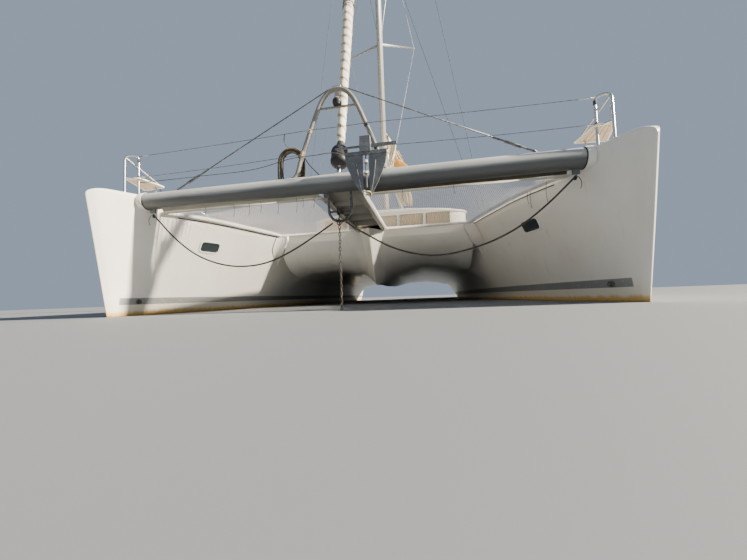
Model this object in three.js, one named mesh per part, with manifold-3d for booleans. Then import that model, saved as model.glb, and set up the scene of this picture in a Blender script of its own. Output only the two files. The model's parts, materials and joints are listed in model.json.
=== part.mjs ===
// Cruising sailing catamaran: two hulls, a bridgedeck with a deckhouse, and a sloop rig.
// Units are millimetres. +X is the port side, +Y points aft, +Z is up.
// The origin is on the waterline, on the centreline, at the middle of the length.
import * as THREE from 'three';
import { mergeVertices } from 'three/addons/utils/BufferGeometryUtils.js';
import Module from 'manifold-3d';

const wasm = await Module();
wasm.setup();

// Driving dimensions
const LENGTH = 13600;
const STERN = LENGTH / 2;
const HULL_X = 3050; // hull centreline
const TUNNEL_X = 1850; // inner face of each hull where the bridgedeck joins it
const DECK_Z = 1420;
const FLOOR_Z = 800; // saloon and cockpit sole
const GAP = 0.3; // between pieces that touch
const BEAM = { y: -6294, z: 1530, radius: 110, end: 2760 };
const BRIDGE = { front: -4100, aft: 4900 };
const SALOON = { front: -1850, aft: 2600, halfWidth: 1750, wall: 60 };
const HOUSE = { front: -1950, aft: 2660, halfWidth: 2100, corner: 650 };
const ROOF = { front: -2080, aft: 2720, z: 2240, slope: 0.085, edge: 55, crown: 80 };
const MAST = { y: -1700, foot: 2425, top: 19800, halfX: 78, halfY: 150 };
const HOUNDS_Z = 17300;
const STAY = { foot: [0, BEAM.y, 1700], head: [0, MAST.y - MAST.halfY - 20, HOUNDS_Z + 100] };
const GOOSENECK = { y: MAST.y + MAST.halfY + 60, z: 4150 };
const BOOM_END = 4350;

const boat = new THREE.Group();

// Ways to make, join and cut shapes
const vec = (p) => new THREE.Vector3(...p);

function solid(geometry) {
  const bare = geometry.clone();
  bare.deleteAttribute('normal');
  bare.deleteAttribute('uv');
  const merged = mergeVertices(bare, 1e-3);
  return new wasm.Manifold(new wasm.Mesh({
    numProp: 3,
    vertProperties: merged.attributes.position.array,
    triVerts: Uint32Array.from(merged.index.array),
  }));
}

function geometryOf(manifold) {
  const mesh = manifold.getMesh();
  const geometry = new THREE.BufferGeometry();
  geometry.setAttribute('position', new THREE.BufferAttribute(mesh.vertProperties.slice(), 3));
  geometry.setIndex(new THREE.BufferAttribute(mesh.triVerts.slice(), 1));
  return geometry;
}

const join = (...shapes) => geometryOf(shapes.map(solid).reduce((a, b) => a.add(b)));
const cut = (shape, ...tools) => geometryOf(tools.map(solid).reduce((a, b) => a.subtract(b), solid(shape)));
const moved = (shape, x, y, z) => shape.clone().translate(x, y, z);

function box(x0, x1, y0, y1, z0, z1) {
  return new THREE.BoxGeometry(x1 - x0, y1 - y0, z1 - z0)
    .translate((x0 + x1) / 2, (y0 + y1) / 2, (z0 + z1) / 2);
}

function rod(p, q, radius, sides = 8, endRadius = radius) {
  const span = vec(q).sub(vec(p));
  const turn = new THREE.Quaternion().setFromUnitVectors(new THREE.Vector3(0, 1, 0), span.clone().normalize());
  const middle = vec(p).add(vec(q)).multiplyScalar(0.5);
  return new THREE.CylinderGeometry(endRadius, radius, span.length(), sides)
    .applyQuaternion(turn).translate(middle.x, middle.y, middle.z);
}

const ball = (p, radius, sides = 8) => new THREE.SphereGeometry(radius, sides, Math.max(4, sides / 2))
  .translate(...p);

// A bent tube: straight rods with a ball at every corner
function tubeFrame(radius, sides, ...paths) {
  const shapes = [];
  for (const path of paths) {
    path.slice(1).forEach((p, i) => shapes.push(rod(path[i], p, radius, sides)));
    path.slice(1, -1).forEach((p) => shapes.push(ball(p, radius * 1.02, sides)));
  }
  return shapes;
}

// A round bar swept along a smooth curve through the given points
function sweep(points, radius, sides, steps) {
  const section = new THREE.Shape();
  for (let i = 0; i < sides; i += 1) {
    const a = (2 * Math.PI * i) / sides;
    section[i ? 'lineTo' : 'moveTo'](radius * Math.cos(a), radius * Math.sin(a));
  }
  const path = new THREE.CatmullRomCurve3(points.map(vec), false, 'centripetal');
  return new THREE.ExtrudeGeometry(section, { steps, extrudePath: path, bevelEnabled: false });
}

// Skin over closed rings of points, with flat caps on the first and last ring
function loft(rings, flat = ([x, , z]) => [x, z]) {
  const n = rings[0].length;
  const index = [];
  for (let r = 0; r < rings.length - 1; r += 1) {
    for (let i = 0; i < n; i += 1) {
      const a = r * n + i;
      const b = r * n + ((i + 1) % n);
      index.push(a, b, b + n, a, b + n, a + n);
    }
  }
  const area = (t) => t.reduce((s, p, i) => {
    const q = t[(i + 1) % t.length];
    return s + p.x * q.y - q.x * p.y;
  }, 0);
  for (const r of [0, rings.length - 1]) {
    const outline = rings[r].map((p) => new THREE.Vector2(...flat(p)));
    const way = Math.sign(area(outline)) * (r ? 1 : -1);
    for (const t of THREE.ShapeUtils.triangulateShape(outline, [])) {
      const same = Math.sign(area(t.map((k) => outline[k]))) === way;
      const [a, b, c] = (same ? t : [t[0], t[2], t[1]]).map((k) => r * n + k);
      index.push(a, b, c);
    }
  }
  const geometry = new THREE.BufferGeometry();
  geometry.setAttribute('position', new THREE.Float32BufferAttribute(rings.flat(2), 3));
  geometry.setIndex(index);
  const p = rings.flat().map(vec);
  let volume = 0;
  for (let i = 0; i < index.length; i += 3) {
    volume += p[index[i]].dot(p[index[i + 1]].clone().cross(p[index[i + 2]]));
  }
  if (volume < 0) {
    const turned = [];
    for (let i = 0; i < index.length; i += 3) turned.push(index[i], index[i + 2], index[i + 1]);
    geometry.setIndex(turned);
  }
  return geometry;
}

// A flat outline raised between two heights
function plate(outline, z0, z1) {
  const shape = new THREE.Shape(outline.map(([x, y]) => new THREE.Vector2(x, y)));
  return new THREE.ExtrudeGeometry(shape, { depth: z1 - z0, bevelEnabled: false }).translate(0, 0, z0);
}

const look = (color, roughness, metalness = 0) => new THREE.MeshStandardMaterial({ color, roughness, metalness });
const LOOKS = {
  gelcoat: look(0xe9e6dc, 0.3),
  alloy: look(0xa3a6a6, 0.45, 0.8),
  steel: look(0xb8bcc0, 0.25, 1),
  galvanised: look(0x7d8082, 0.6, 0.8),
  bronze: look(0x9a7a45, 0.35, 1),
  net: look(0xdadada, 0.9),
  sailcloth: look(0xe6d9b8, 0.9),
  beige: look(0xc9ab7c, 0.9),
  wood: look(0xb98f5e, 0.6),
  rope: look(0x4a4438, 0.9),
  glass: look(0x30383c, 0.1),
  black: look(0x202224, 0.5),
};

function add(name, shape, material) {
  const mesh = new THREE.Mesh(shape, material);
  mesh.name = name;
  boat.add(mesh);
}

const STEM_Y = -6510; // at the waterline

// Hull sections. u is measured outward from the hull centreline, the last three columns say how
// far the inner side has widened from the waterline to the deck at three heights.
// y, keel z, half waterline, inner deck u, outer deck u, inner deck z, outer deck z, three shares
const HULL_SECTIONS = [
  [STEM_Y, -120, 22, 34, 30, 1605, 1605, 0.25, 0.45, 0.70],
  [-6430, -220, 52, 105, 78, 1618, 1618, 0.25, 0.45, 0.70],
  [-6300, -320, 92, 205, 150, 1622, 1622, 0.25, 0.45, 0.70],
  [-6070, -430, 150, 372, 285, 1620, 1620, 0.25, 0.45, 0.70],
  [-5860, -500, 200, 545, 390, 1440, 1600, 0.25, 0.45, 0.70],
  [-5400, -600, 300, 830, 540, 1430, 1550, 0.24, 0.45, 0.70],
  [-4900, -650, 390, 1020, 630, 1425, 1500, 0.24, 0.46, 0.72],
  [-4100, -690, 520, 1200, 730, DECK_Z, 1460, 0.24, 0.48, 0.78],
  [-3600, -705, 580, 1200, 760, DECK_Z, 1440, 0.28, 0.68, 1.00],
  [-3000, -720, 630, 1200, 790, DECK_Z, DECK_Z, 0.35, 1.00, 1.00],
  [-1500, -740, 700, 1200, 800, DECK_Z, DECK_Z, 0.38, 1.00, 1.00],
  [1200, -720, 740, 1200, 800, DECK_Z, DECK_Z, 0.40, 1.00, 1.00],
  [3500, -600, 720, 1200, 780, DECK_Z, DECK_Z, 0.40, 1.00, 1.00],
  [4900, -420, 660, 1200, 740, DECK_Z, DECK_Z, 0.40, 1.00, 1.00],
  [5250, -360, 640, 860, 720, DECK_Z, DECK_Z, 0.40, 0.75, 0.95],
  [6000, -210, 580, 780, 670, DECK_Z, DECK_Z, 0.40, 0.75, 0.95],
  [STERN, -30, 480, 700, 600, DECK_Z, DECK_Z, 0.40, 0.75, 0.95],
];
const SIDE_HEIGHTS = [350, 640, 1000];
const OUTER_SHARES = [0.55, 0.85, 0.97];
const BILGE_ANGLES = [22, 45, 68];
const STEM_RAKE = 0.182; // forward lean of the stem, fading out over RAKE_LENGTH
const RAKE_LENGTH = 1500;

function hullRing(side, [y, keel, half, inner, outer, innerZ, outerZ, ...innerShares]) {
  const rake = STEM_RAKE * Math.max(0, 1 - (y - STEM_Y) / RAKE_LENGTH);
  const at = (u, z) => [side * (HULL_X + u), y - rake * z, z];
  const edge = Math.min(50, inner / 2);
  const flat = inner >= HULL_X - TUNNEL_X;
  const outerSide = SIDE_HEIGHTS.map((z, i) => at(half + (outer - half) * OUTER_SHARES[i], z));
  const innerSide = SIDE_HEIGHTS.map((z, i) => at(-half - (inner - half) * innerShares[i], z));
  const bilge = (way) => BILGE_ANGLES.map((a) => {
    const t = (a * Math.PI) / 180;
    return at(way * half * Math.cos(t), keel * Math.sin(t));
  });
  return [
    at(outer - edge, outerZ), at(outer, outerZ - edge), ...outerSide.reverse(), at(half, 0),
    ...bilge(1), at(0, keel), ...bilge(-1).reverse(), at(-half, 0), ...innerSide,
    at(-inner, innerZ - (flat ? 20 : edge)), at(-inner + (flat ? 0 : edge), innerZ),
  ];
}

const LADDER = { x: HULL_X - 40, y: STERN + 28, z: 320, half: 170, tube: 12, rise: 640 };
const RUDDER = { y: 6150, top: -240, bottom: -1180, fore: 130, aft: 300, half: 30, stock: 24, head: -100 };
const CLEATS = [ // y, distance out from the hull centreline, height of the deck there
  [-5600, 0, 1500],
  [5120, 380, DECK_Z],
];
const CLEAT = { base: 45, foot: 28, post: 62, horn: 120, half: 15, thick: 20 };
const STEPS = [ // y, z, half width of the boarding steps cut into each stern
  [5350, 1080, 480],
  [5700, 720, 460],
  [6050, 360, 430],
];

function hull(side) {
  const skin = loft(HULL_SECTIONS.map((section) => hullRing(side, section)));
  const wells = STEPS.map(([y, z, half]) => {
    const x = side * (HULL_X - 40);
    return box(x - half, x + half, y, STERN + 200, z, DECK_Z + 200);
  });
  const cleats = CLEATS.flatMap(([y, u, z]) => {
    const x = side * (HULL_X + u);
    return [
      box(x - CLEAT.foot, x + CLEAT.foot, y - CLEAT.base, y + CLEAT.base, z - 60, z + CLEAT.post),
      box(x - CLEAT.half, x + CLEAT.half, y - CLEAT.horn, y + CLEAT.horn, z + CLEAT.post - 4,
        z + CLEAT.post + CLEAT.thick),
    ];
  });
  const hinges = side < 0 ? [] : [-1, 1].map((way) => box(
    LADDER.x + way * (LADDER.half + 38) - 18, LADDER.x + way * (LADDER.half + 38) + 18,
    STERN - 20, LADDER.y + 16, LADDER.z - 14, LADDER.z + 14));
  const x = side * HULL_X;
  const bore = rod([x, RUDDER.y, RUDDER.top - 200], [x, RUDDER.y, RUDDER.head + 10], RUDDER.stock + 0.8, 16);
  return join(cut(skin, ...wells, bore), ...cleats, ...hinges);
}

const SIDES = [['port', 1], ['starboard', -1]];
const hulls = Object.fromEntries(SIDES.map(([name, side]) => [name, hull(side)]));
for (const [name] of SIDES) add(`hull_${name}`, hulls[name], LOOKS.gelcoat);

// Bridgedeck: an arched underside with a nacelle down its middle and a sunken floor on top.
// y, bottom z at the hulls, at the tunnel roof, at half way in, at the nacelle's side, at its keel
const BRIDGE_SECTIONS = [
  [BRIDGE.front, 1300, 1300, 1300, 1290, 1280],
  [-4060, 1120, 1120, 1120, 1100, 1080],
  [-3950, 960, 970, 970, 900, 760],
  [-3600, 790, 820, 840, 740, 420],
  [-3100, 640, 730, 750, 640, 375],
  [-2000, 620, 700, 740, 620, 400],
  [500, 620, 700, 750, 640, 460],
  [3000, 620, 700, 760, 690, 600],
  [BRIDGE.aft, 620, 710, 765, 740, 720],
];
const BRIDGE_HALF = TUNNEL_X - GAP;

// The nacelle's nose runs forward of the bridgedeck like a small bow and carries the centre spar
const NOSE = [ // z, y of the stem, half width
  [1384, -4460, 265],
  [1150, -4330, 262],
  [800, -4120, 235],
  [520, -3930, 150],
  [390, -3840, 40],
];
const NOSE_BACK = -3300;

function nose() {
  return loft(NOSE.map(([z, y, half]) => [
    [0, y, z], [half * 0.62, y + 190, z], [half, y + 420, z], [half, NOSE_BACK, z],
    [-half, NOSE_BACK, z], [-half, y + 420, z], [-half * 0.62, y + 190, z],
  ]), ([x, y]) => [x, y]);
}

function bridgedeck() {
  const across = [BRIDGE_HALF, 1450, 950, 330, 0];
  const rings = BRIDGE_SECTIONS.map(([y, ...bottom]) => [
    [-BRIDGE_HALF, y, DECK_Z],
    ...across.map((x, i) => [-x, y, bottom[i]]),
    ...across.slice(0, -1).map((x, i) => [x, y, bottom[i]]).reverse(),
    [BRIDGE_HALF, y, DECK_Z],
  ]);
  const well = box(-SALOON.halfWidth, SALOON.halfWidth, SALOON.front, BRIDGE.aft + 100, FLOOR_Z, DECK_Z + 100);
  return cut(join(loft(rings), nose()), well);
}
add('bridgedeck', bridgedeck(), LOOKS.gelcoat);

// Stub keels, sail drives and rudders, fitted under the hulls
const KEEL = { fore: -1500, aft: 1800, top: -600, sole: -1300, half: 140, soleHalf: 90 };

function keel(side) {
  const x = side * HULL_X;
  const ring = (z, fore, aft, half) => [
    [x, fore, z], [x + half * 0.8, fore + 250, z], [x + half, fore + 900, z], [x + half * 0.7, aft - 700, z],
    [x + 12, aft, z], [x - 12, aft, z], [x - half * 0.7, aft - 700, z], [x - half, fore + 900, z],
    [x - half * 0.8, fore + 250, z],
  ];
  const blade = loft([
    ring(KEEL.sole, KEEL.fore + 500, KEEL.aft - 200, KEEL.soleHalf),
    ring(KEEL.top, KEEL.fore, KEEL.aft, KEEL.half),
  ], ([px, py]) => [px, py]);
  return cut(blade, moved(hulls[side > 0 ? 'port' : 'starboard'], 0, 0, -GAP));
}

const DRIVE = { y: 3900, top: -450, axis: -880, hub: 55, length: 300 };

function drive(side) {
  const x = side * HULL_X;
  const leg = loft([[DRIVE.top, 150], [DRIVE.axis, 110]].map(([z, chord]) => [
    [x, DRIVE.y - chord, z], [x + 38, DRIVE.y - chord * 0.4, z], [x + 8, DRIVE.y + chord, z],
    [x - 8, DRIVE.y + chord, z], [x - 38, DRIVE.y - chord * 0.4, z],
  ]), ([px, py]) => [px, py]);
  const gearcase = rod([x, DRIVE.y - 130, DRIVE.axis], [x, DRIVE.y + 170, DRIVE.axis], 62, 12, 50);
  return cut(join(leg, gearcase), moved(hulls[side > 0 ? 'port' : 'starboard'], 0, 0, -GAP));
}

function propeller(side) {
  const x = side * HULL_X;
  const y0 = DRIVE.y + 170 + GAP;
  const hub = rod([x, y0, DRIVE.axis], [x, y0 + 110, DRIVE.axis], 48, 12, 20);
  const blades = [0, 120, 240].map((a) => new THREE.SphereGeometry(1, 8, 6).scale(9, 70, 110)
    .rotateZ(0.6).translate(0, 0, 130).rotateY((a * Math.PI) / 180).translate(x, y0 + 50, DRIVE.axis));
  return join(hub, ...blades);
}

function rudder(side) {
  const x = side * HULL_X;
  const ring = (z, fore, aft) => [
    [x, RUDDER.y - fore, z], [x + RUDDER.half, RUDDER.y - fore * 0.3, z], [x + 6, RUDDER.y + aft, z],
    [x - 6, RUDDER.y + aft, z], [x - RUDDER.half, RUDDER.y - fore * 0.3, z],
  ];
  const blade = loft([
    ring(RUDDER.bottom, RUDDER.fore * 0.7, RUDDER.aft * 0.75),
    ring(RUDDER.top, RUDDER.fore, RUDDER.aft),
  ], ([px, py]) => [px, py]);
  const stock = rod([x, RUDDER.y, RUDDER.top - 60], [x, RUDDER.y, RUDDER.head], RUDDER.stock, 16);
  return join(blade, stock);
}

for (const [name, side] of SIDES) {
  add(`keel_${name}`, keel(side), LOOKS.gelcoat);
  add(`drive_${name}`, drive(side), LOOKS.black);
  add(`propeller_${name}`, propeller(side), LOOKS.bronze);
  add(`rudder_${name}`, rudder(side), LOOKS.gelcoat);
}

// Deckhouse: one wall all round with its windows and door cut out
function houseOutline(inset) {
  const half = HOUSE.halfWidth - inset;
  const front = HOUSE.front + inset;
  const radius = HOUSE.corner - inset;
  const corner = (way) => [0, 22.5, 45, 67.5, 90].map((a) => {
    const t = (a * Math.PI) / 180;
    return [way * (half - radius + radius * Math.sin(t)), front + radius - radius * Math.cos(t)];
  });
  const aft = HOUSE.aft - inset;
  return [...corner(-1).reverse(), ...corner(1), [half, aft], [-half, aft]];
}

function band(outer, inner, z0, z1) {
  return cut(plate(houseOutline(outer), z0, z1), plate(houseOutline(inner), z0 - 10, z1 + 10));
}

const WINDOW = { bottom: 1930, top: 2225 };
const FRONT_WINDOWS = [-1340, -670, 0, 670, 1340]; // x of each centre
const FRONT_WINDOW_HALF = 290;
const SIDE_WINDOWS = [-750, 350, 1450]; // y of each centre
const SIDE_WINDOW_HALF = 470;
const DOOR = { from: -760, to: -20, top: 2440, thick: 24 };
const AFT_WINDOW = { from: 60, to: 800, bottom: 1300, top: 2400 };

// The roof's underside rises aft, so everything below it is cut to this slope
function underRoof(lower) {
  const y0 = ROOF.front - 400;
  const y1 = 5400;
  const z = (y) => ROOF.z + ROOF.slope * (y - ROOF.front) - lower;
  const side = [[y0, z(y0)], [y1, z(y1)], [y1, 4000], [y0, 4000]];
  return loft([-2600, 2600].map((x) => side.map(([y, h]) => [x, y, h])), ([, y, h]) => [y, h]);
}

function deckhouse() {
  const lower = box(-SALOON.halfWidth + GAP, SALOON.halfWidth - GAP, HOUSE.aft - SALOON.wall, HOUSE.aft,
    FLOOR_Z + GAP, DECK_Z + 60);
  const wall = join(band(0, SALOON.wall, DECK_Z + GAP, 2900), lower);
  const fronts = FRONT_WINDOWS.map((x) => box(x - FRONT_WINDOW_HALF, x + FRONT_WINDOW_HALF,
    HOUSE.front - 50, HOUSE.front + 330, WINDOW.bottom, WINDOW.top));
  const sides = SIDE_WINDOWS.map((y) => box(-2300, 2300, y - SIDE_WINDOW_HALF, y + SIDE_WINDOW_HALF,
    WINDOW.bottom, WINDOW.top));
  const door = box(DOOR.from, DOOR.to, HOUSE.aft - 100, HOUSE.aft + 50, FLOOR_Z - 10, DOOR.top);
  const aft = box(AFT_WINDOW.from, AFT_WINDOW.to, HOUSE.aft - 100, HOUSE.aft + 50,
    AFT_WINDOW.bottom, AFT_WINDOW.top);
  return cut(wall, ...fronts, ...sides, door, aft, underRoof(GAP));
}
add('deckhouse', deckhouse(), LOOKS.gelcoat);

const SCREEN = { outer: SALOON.wall + GAP, inner: SALOON.wall + 4 };
const PANE = { outer: SCREEN.inner + GAP, inner: SCREEN.inner + 10 };
const BAND_Z = [WINDOW.bottom - 40, ROOF.z - 5];

add('window_screens', cut(band(SCREEN.outer, SCREEN.inner, ...BAND_Z),
  box(-2300, 2300, HOUSE.front + 420, 3000, 1500, 2500)), LOOKS.beige);
add('window_glass', cut(band(PANE.outer, PANE.inner, ...BAND_Z),
  box(-2300, 2300, 2100, 3000, 1500, 2500)), LOOKS.glass);
add('aft_window', box(AFT_WINDOW.from - 30, AFT_WINDOW.to + 30, HOUSE.aft + GAP, HOUSE.aft + 12,
  AFT_WINDOW.bottom - 30, AFT_WINDOW.top + 30), LOOKS.glass);

// The sliding door runs along the inside of the aft wall, behind the fixed window
const DOOR_Y = HOUSE.aft - SALOON.wall - 6;
const doorShoes = [DOOR.from + 40, DOOR.to - 100].map((x) => box(x, x + 60, DOOR_Y - DOOR.thick, DOOR_Y,
  FLOOR_Z + GAP, FLOOR_Z + 20));
add('saloon_door', cut(
  join(box(DOOR.from - 30, DOOR.to + 30, DOOR_Y - DOOR.thick, DOOR_Y, FLOOR_Z + 6, DOOR.top + 40), ...doorShoes),
  box(DOOR.from + 70, DOOR.to - 70, DOOR_Y - 100, DOOR_Y - 8, FLOOR_Z + 140, DOOR.top - 60),
), LOOKS.alloy);

// Coachroof with a rounded front edge, and the mast step on it
const ROOF_SECTIONS = [ // y, half width
  [ROOF.front, 1180],
  [-2020, 1480],
  [-1900, 1720],
  [-1650, 1930],
  [-1250, 2090],
  [-600, 2150],
  [ROOF.aft, 2150],
];

function roofRing([y, half]) {
  const z = ROOF.z + ROOF.slope * (y - ROOF.front);
  const lip = y === ROOF.front ? 18 : 0;
  const top = [0.96, 0.75, 0.4, 0].map((f) => [half * f, z + ROOF.edge + ROOF.crown * (1 - f * f) - lip]);
  const mirrored = top.slice(0, -1).map(([x, h]) => [-x, h]).reverse();
  return [[-half + 30, z], [half - 30, z], [half, z + 25], ...top, ...mirrored, [-half, z + 25]]
    .map(([x, h]) => [x, y, h]);
}

const mastStep = rod([0, MAST.y, 2320], [0, MAST.y, MAST.foot - GAP], 190, 16, 170);
add('coachroof', cut(join(loft(ROOF_SECTIONS.map(roofRing)), mastStep),
  cut(box(-1500, 1500, -2200, -1200, 2000, 2320), underRoof(0))), LOOKS.gelcoat);

// Saloon and cockpit furniture
add('saloon_settee', join(
  box(300, 1700, -1600, -1000, FLOOR_Z + GAP, FLOOR_Z + 430),
  box(1100, 1700, -1100, 900, FLOOR_Z + GAP, FLOOR_Z + 430),
  box(300, 1700, -1750, -1590, FLOOR_Z + GAP, FLOOR_Z + 600),
), LOOKS.sailcloth);
add('saloon_table', join(
  box(350, 1020, -900, 500, FLOOR_Z + 690, FLOOR_Z + 730),
  rod([680, -200, FLOOR_Z + GAP], [680, -200, FLOOR_Z + 700], 60, 12),
  rod([680, -200, FLOOR_Z + GAP], [680, -200, FLOOR_Z + 40], 220, 16),
), LOOKS.wood);
add('galley', join(
  box(-1700, -1080, -1500, 1900, FLOOR_Z + GAP, FLOOR_Z + 900),
  box(-1700, -300, -1700, -1080, FLOOR_Z + GAP, FLOOR_Z + 900),
), LOOKS.wood);
add('cockpit_settee', join(
  box(-1690, -1100, 3000, 4700, FLOOR_Z + GAP, FLOOR_Z + 430),
  box(-1690, -1560, 3000, 4700, FLOOR_Z + 400, FLOOR_Z + 600),
), LOOKS.sailcloth);
add('cockpit_table', join(
  box(-1000, -300, 3200, 4500, FLOOR_Z + 690, FLOOR_Z + 725),
  rod([-650, 3850, FLOOR_Z + GAP], [-650, 3850, FLOOR_Z + 700], 55, 12),
  rod([-650, 3850, FLOOR_Z + GAP], [-650, 3850, FLOOR_Z + 40], 230, 16),
), LOOKS.wood);

const HELM = { x: 1250, y: 3060, z: FLOOR_Z + 980, radius: 380, shaft: 23.6 };
add('helm_console', join(
  box(HELM.x - 330, HELM.x + 330, 2700, 2980, FLOOR_Z + GAP, FLOOR_Z + 1080),
  rod([HELM.x, 2960, HELM.z], [HELM.x, HELM.y + 20, HELM.z], HELM.shaft, 12),
), LOOKS.gelcoat);
add('helm_seat', join(
  box(HELM.x - 380, HELM.x + 380, 3900, 4350, FLOOR_Z + GAP, FLOOR_Z + 640),
  box(HELM.x - 380, HELM.x + 380, 4300, 4400, FLOOR_Z + GAP, FLOOR_Z + 1000),
), LOOKS.sailcloth);

function wheel() {
  const rim = new THREE.TorusGeometry(HELM.radius, 16, 6, 24).rotateX(Math.PI / 2);
  const spokes = [0, 60, 120].map((a) => {
    const t = (a * Math.PI) / 180;
    const [c, s] = [HELM.radius * Math.cos(t), HELM.radius * Math.sin(t)];
    return rod([-c, 0, -s], [c, 0, s], 8, 6);
  });
  const hub = rod([0, -20, 0], [0, 20, 0], 55, 12);
  const bore = rod([0, -60, 0], [0, 60, 0], HELM.shaft + 0.9, 12);
  return cut(join(rim, hub, ...spokes), bore).translate(HELM.x, HELM.y, HELM.z);
}
add('steering_wheel', wheel(), LOOKS.steel);

// Hardtop over the cockpit on four posts from the side decks
function hardtop() {
  const rings = [2760, 3200, 4600, 5000].map((y, i) => roofRing([y, i === 3 ? 1900 : 2100])
    .map(([x, yy, z]) => [x, yy, z - 12]));
  const posts = [[2050, 2950], [2050, 4600]].flatMap(([x, y]) => [-1, 1].map((side) => rod(
    [side * x, y, DECK_Z + GAP], [side * (x - 120), y, ROOF.z + ROOF.slope * (y - ROOF.front) + 20], 28, 10)));
  return cut(join(loft(rings), ...posts), box(-2600, 2600, 2500, 5000, DECK_Z - 100, DECK_Z + GAP));
}
add('hardtop', hardtop(), LOOKS.gelcoat);

// Foredeck: crossbeam, striker arch, centre spar and roller
const grownHulls = SIDES.map(([name, side]) => moved(hulls[name], -side * GAP * 1.5, 0, 0));
const LUG = { x: 2600, drop: 170.5 };

function crossbeam() {
  const tube = rod([-BEAM.end, BEAM.y, BEAM.z], [BEAM.end, BEAM.y, BEAM.z], BEAM.radius, 24);
  const lugs = [-LUG.x, LUG.x].map((x) => box(x - 30, x + 30, BEAM.y - 12, BEAM.y + 12, BEAM.z - LUG.drop,
    BEAM.z - 90));
  const pad = box(-60, 60, BEAM.y - 50, BEAM.y + 50, BEAM.z + 80, STAY.foot[2] - 60);
  return cut(join(tube, ...lugs, pad), ...grownHulls);
}
add('crossbeam', crossbeam(), LOOKS.alloy);

const BEAM_TOP = BEAM.z + BEAM.radius;
const ARCH_SIDE = [[560, BEAM_TOP - 8], [415, 2050], [265, 2430], [165, 2620]]; // x, z up one leg
const ARCH_TOP = 2706;
const archPath = [
  ...ARCH_SIDE.map(([x, z]) => [-x, BEAM.y, z]),
  [0, BEAM.y, ARCH_TOP],
  ...ARCH_SIDE.map(([x, z]) => [x, BEAM.y, z]).reverse(),
];
const beamClearance = rod([-900, BEAM.y, BEAM.z], [900, BEAM.y, BEAM.z], BEAM.radius + GAP, 24);
add('striker_arch', cut(join(
  sweep(archPath, 28, 8, 28),
  rod([-245, BEAM.y, 2476], [245, BEAM.y, 2476], 13, 6),
), beamClearance), LOOKS.alloy);

const STRIKER_END = 2240;
const STRIKER_TOP = ARCH_TOP + 28 + 8 + GAP;
add('striker_stays', join(...tubeFrame(8, 6, [
  [-STRIKER_END, BEAM.y, BEAM_TOP + 8 + GAP], [-90, BEAM.y, STRIKER_TOP], [90, BEAM.y, STRIKER_TOP],
  [STRIKER_END, BEAM.y, BEAM_TOP + 8 + GAP],
])), LOOKS.steel);

const SPAR = { half: 255, height: 115, wall: 12, foreZ: 1515, aftZ: 1384 + GAP + 115 };
const sparTop = (y) => SPAR.foreZ + ((SPAR.aftZ - SPAR.foreZ) * (y - BEAM.y)) / (BRIDGE.front - BEAM.y);

function centreSpar() {
  const section = (y, half, drop) => {
    const z = sparTop(y) - drop;
    return [[-half, y, z - SPAR.height], [half, y, z - SPAR.height], [half, y, z], [-half, y, z]];
  };
  const ends = [BEAM.y, BRIDGE.front - GAP];
  const outside = loft(ends.map((y) => section(y, SPAR.half, 0)));
  const inside = loft([ends[0] - 200, ends[1] + 200].map((y) => section(y, SPAR.half - SPAR.wall, SPAR.wall)));
  return cut(outside, inside, rod([-900, BEAM.y, BEAM.z], [900, BEAM.y, BEAM.z], BEAM.radius + GAP, 24));
}
add('centre_spar', centreSpar(), LOOKS.alloy);

const LOOP = { half: 140, bottom: 1060, tube: 17 };
const ROLLER = { z: 1180, radius: 42, half: 34 };

function guardLoop() {
  const y = BEAM.y;
  const arc = [0, 30, 60, 90, 120, 150, 180].map((a) => {
    const t = (a * Math.PI) / 180;
    return [LOOP.half * Math.cos(t), y, LOOP.bottom + LOOP.half - LOOP.half * Math.sin(t)];
  });
  const loop = sweep([[LOOP.half, y, BEAM.z - 80], ...arc, [-LOOP.half, y, BEAM.z - 80]], LOOP.tube, 8, 24);
  const axle = rod([-LOOP.half, y, ROLLER.z], [LOOP.half, y, ROLLER.z], 10, 8);
  const roller = rod([-ROLLER.half, y, ROLLER.z], [ROLLER.half, y, ROLLER.z], ROLLER.radius, 16);
  return cut(join(loop, axle, roller), beamClearance);
}
add('bow_roller', guardLoop(), LOOKS.steel);

// Anchor chain from the roller down to the water
const CHAIN = { radius: 14, top: 1215, end: -60 };
const CHAIN_Y = BEAM.y - ROLLER.radius - CHAIN.radius - GAP;

function chain() {
  return rod([0, CHAIN_Y, CHAIN.end], [0, CHAIN_Y, CHAIN.top], CHAIN.radius, 8);
}
add('anchor_chain', chain(), LOOKS.galvanised);

// Flat anchor lashed in front of the crossbeam, its crown up and its flukes down
const ANCHOR_Y = BEAM.y - BEAM.radius - GAP - 30;
const ANCHOR = { x: 358, y: ANCHOR_Y, top: 1985, crown: 1875, fluke: 1790, tip: 1272, stock: 363 };
const FLUKE = [[33, 1790], [247, 1790], [228, 1655], [148, 1467], [44, 1272], [33, 1290]]; // x, z of one fluke

function anchor() {
  const { x, y } = ANCHOR;
  const fluke = (side) => plate(FLUKE.map(([u, z]) => [side * u, z]), -7, 7)
    .rotateX(Math.PI / 2).translate(x, y, 0);
  const bar = box(x - 247, x + 247, y - 18, y + 18, ANCHOR.fluke - 20, ANCHOR.fluke + 25);
  const crown = box(x - 67, x + 67, y - 40, y + 30, ANCHOR.fluke, ANCHOR.top);
  const stock = box(x - ANCHOR.stock, x + ANCHOR.stock, y - 14, y + 14, ANCHOR.crown - 26, ANCHOR.crown + 26);
  const shank = box(x - 14, x + 14, y - 22, y + 30, ANCHOR.tip + 120, ANCHOR.crown);
  return join(crown, stock, bar, shank, fluke(-1), fluke(1));
}
add('anchor', anchor(), LOOKS.galvanised);

// Nets between the hulls
const NET = { z: DECK_Z + 4, thick: 8 };

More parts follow.
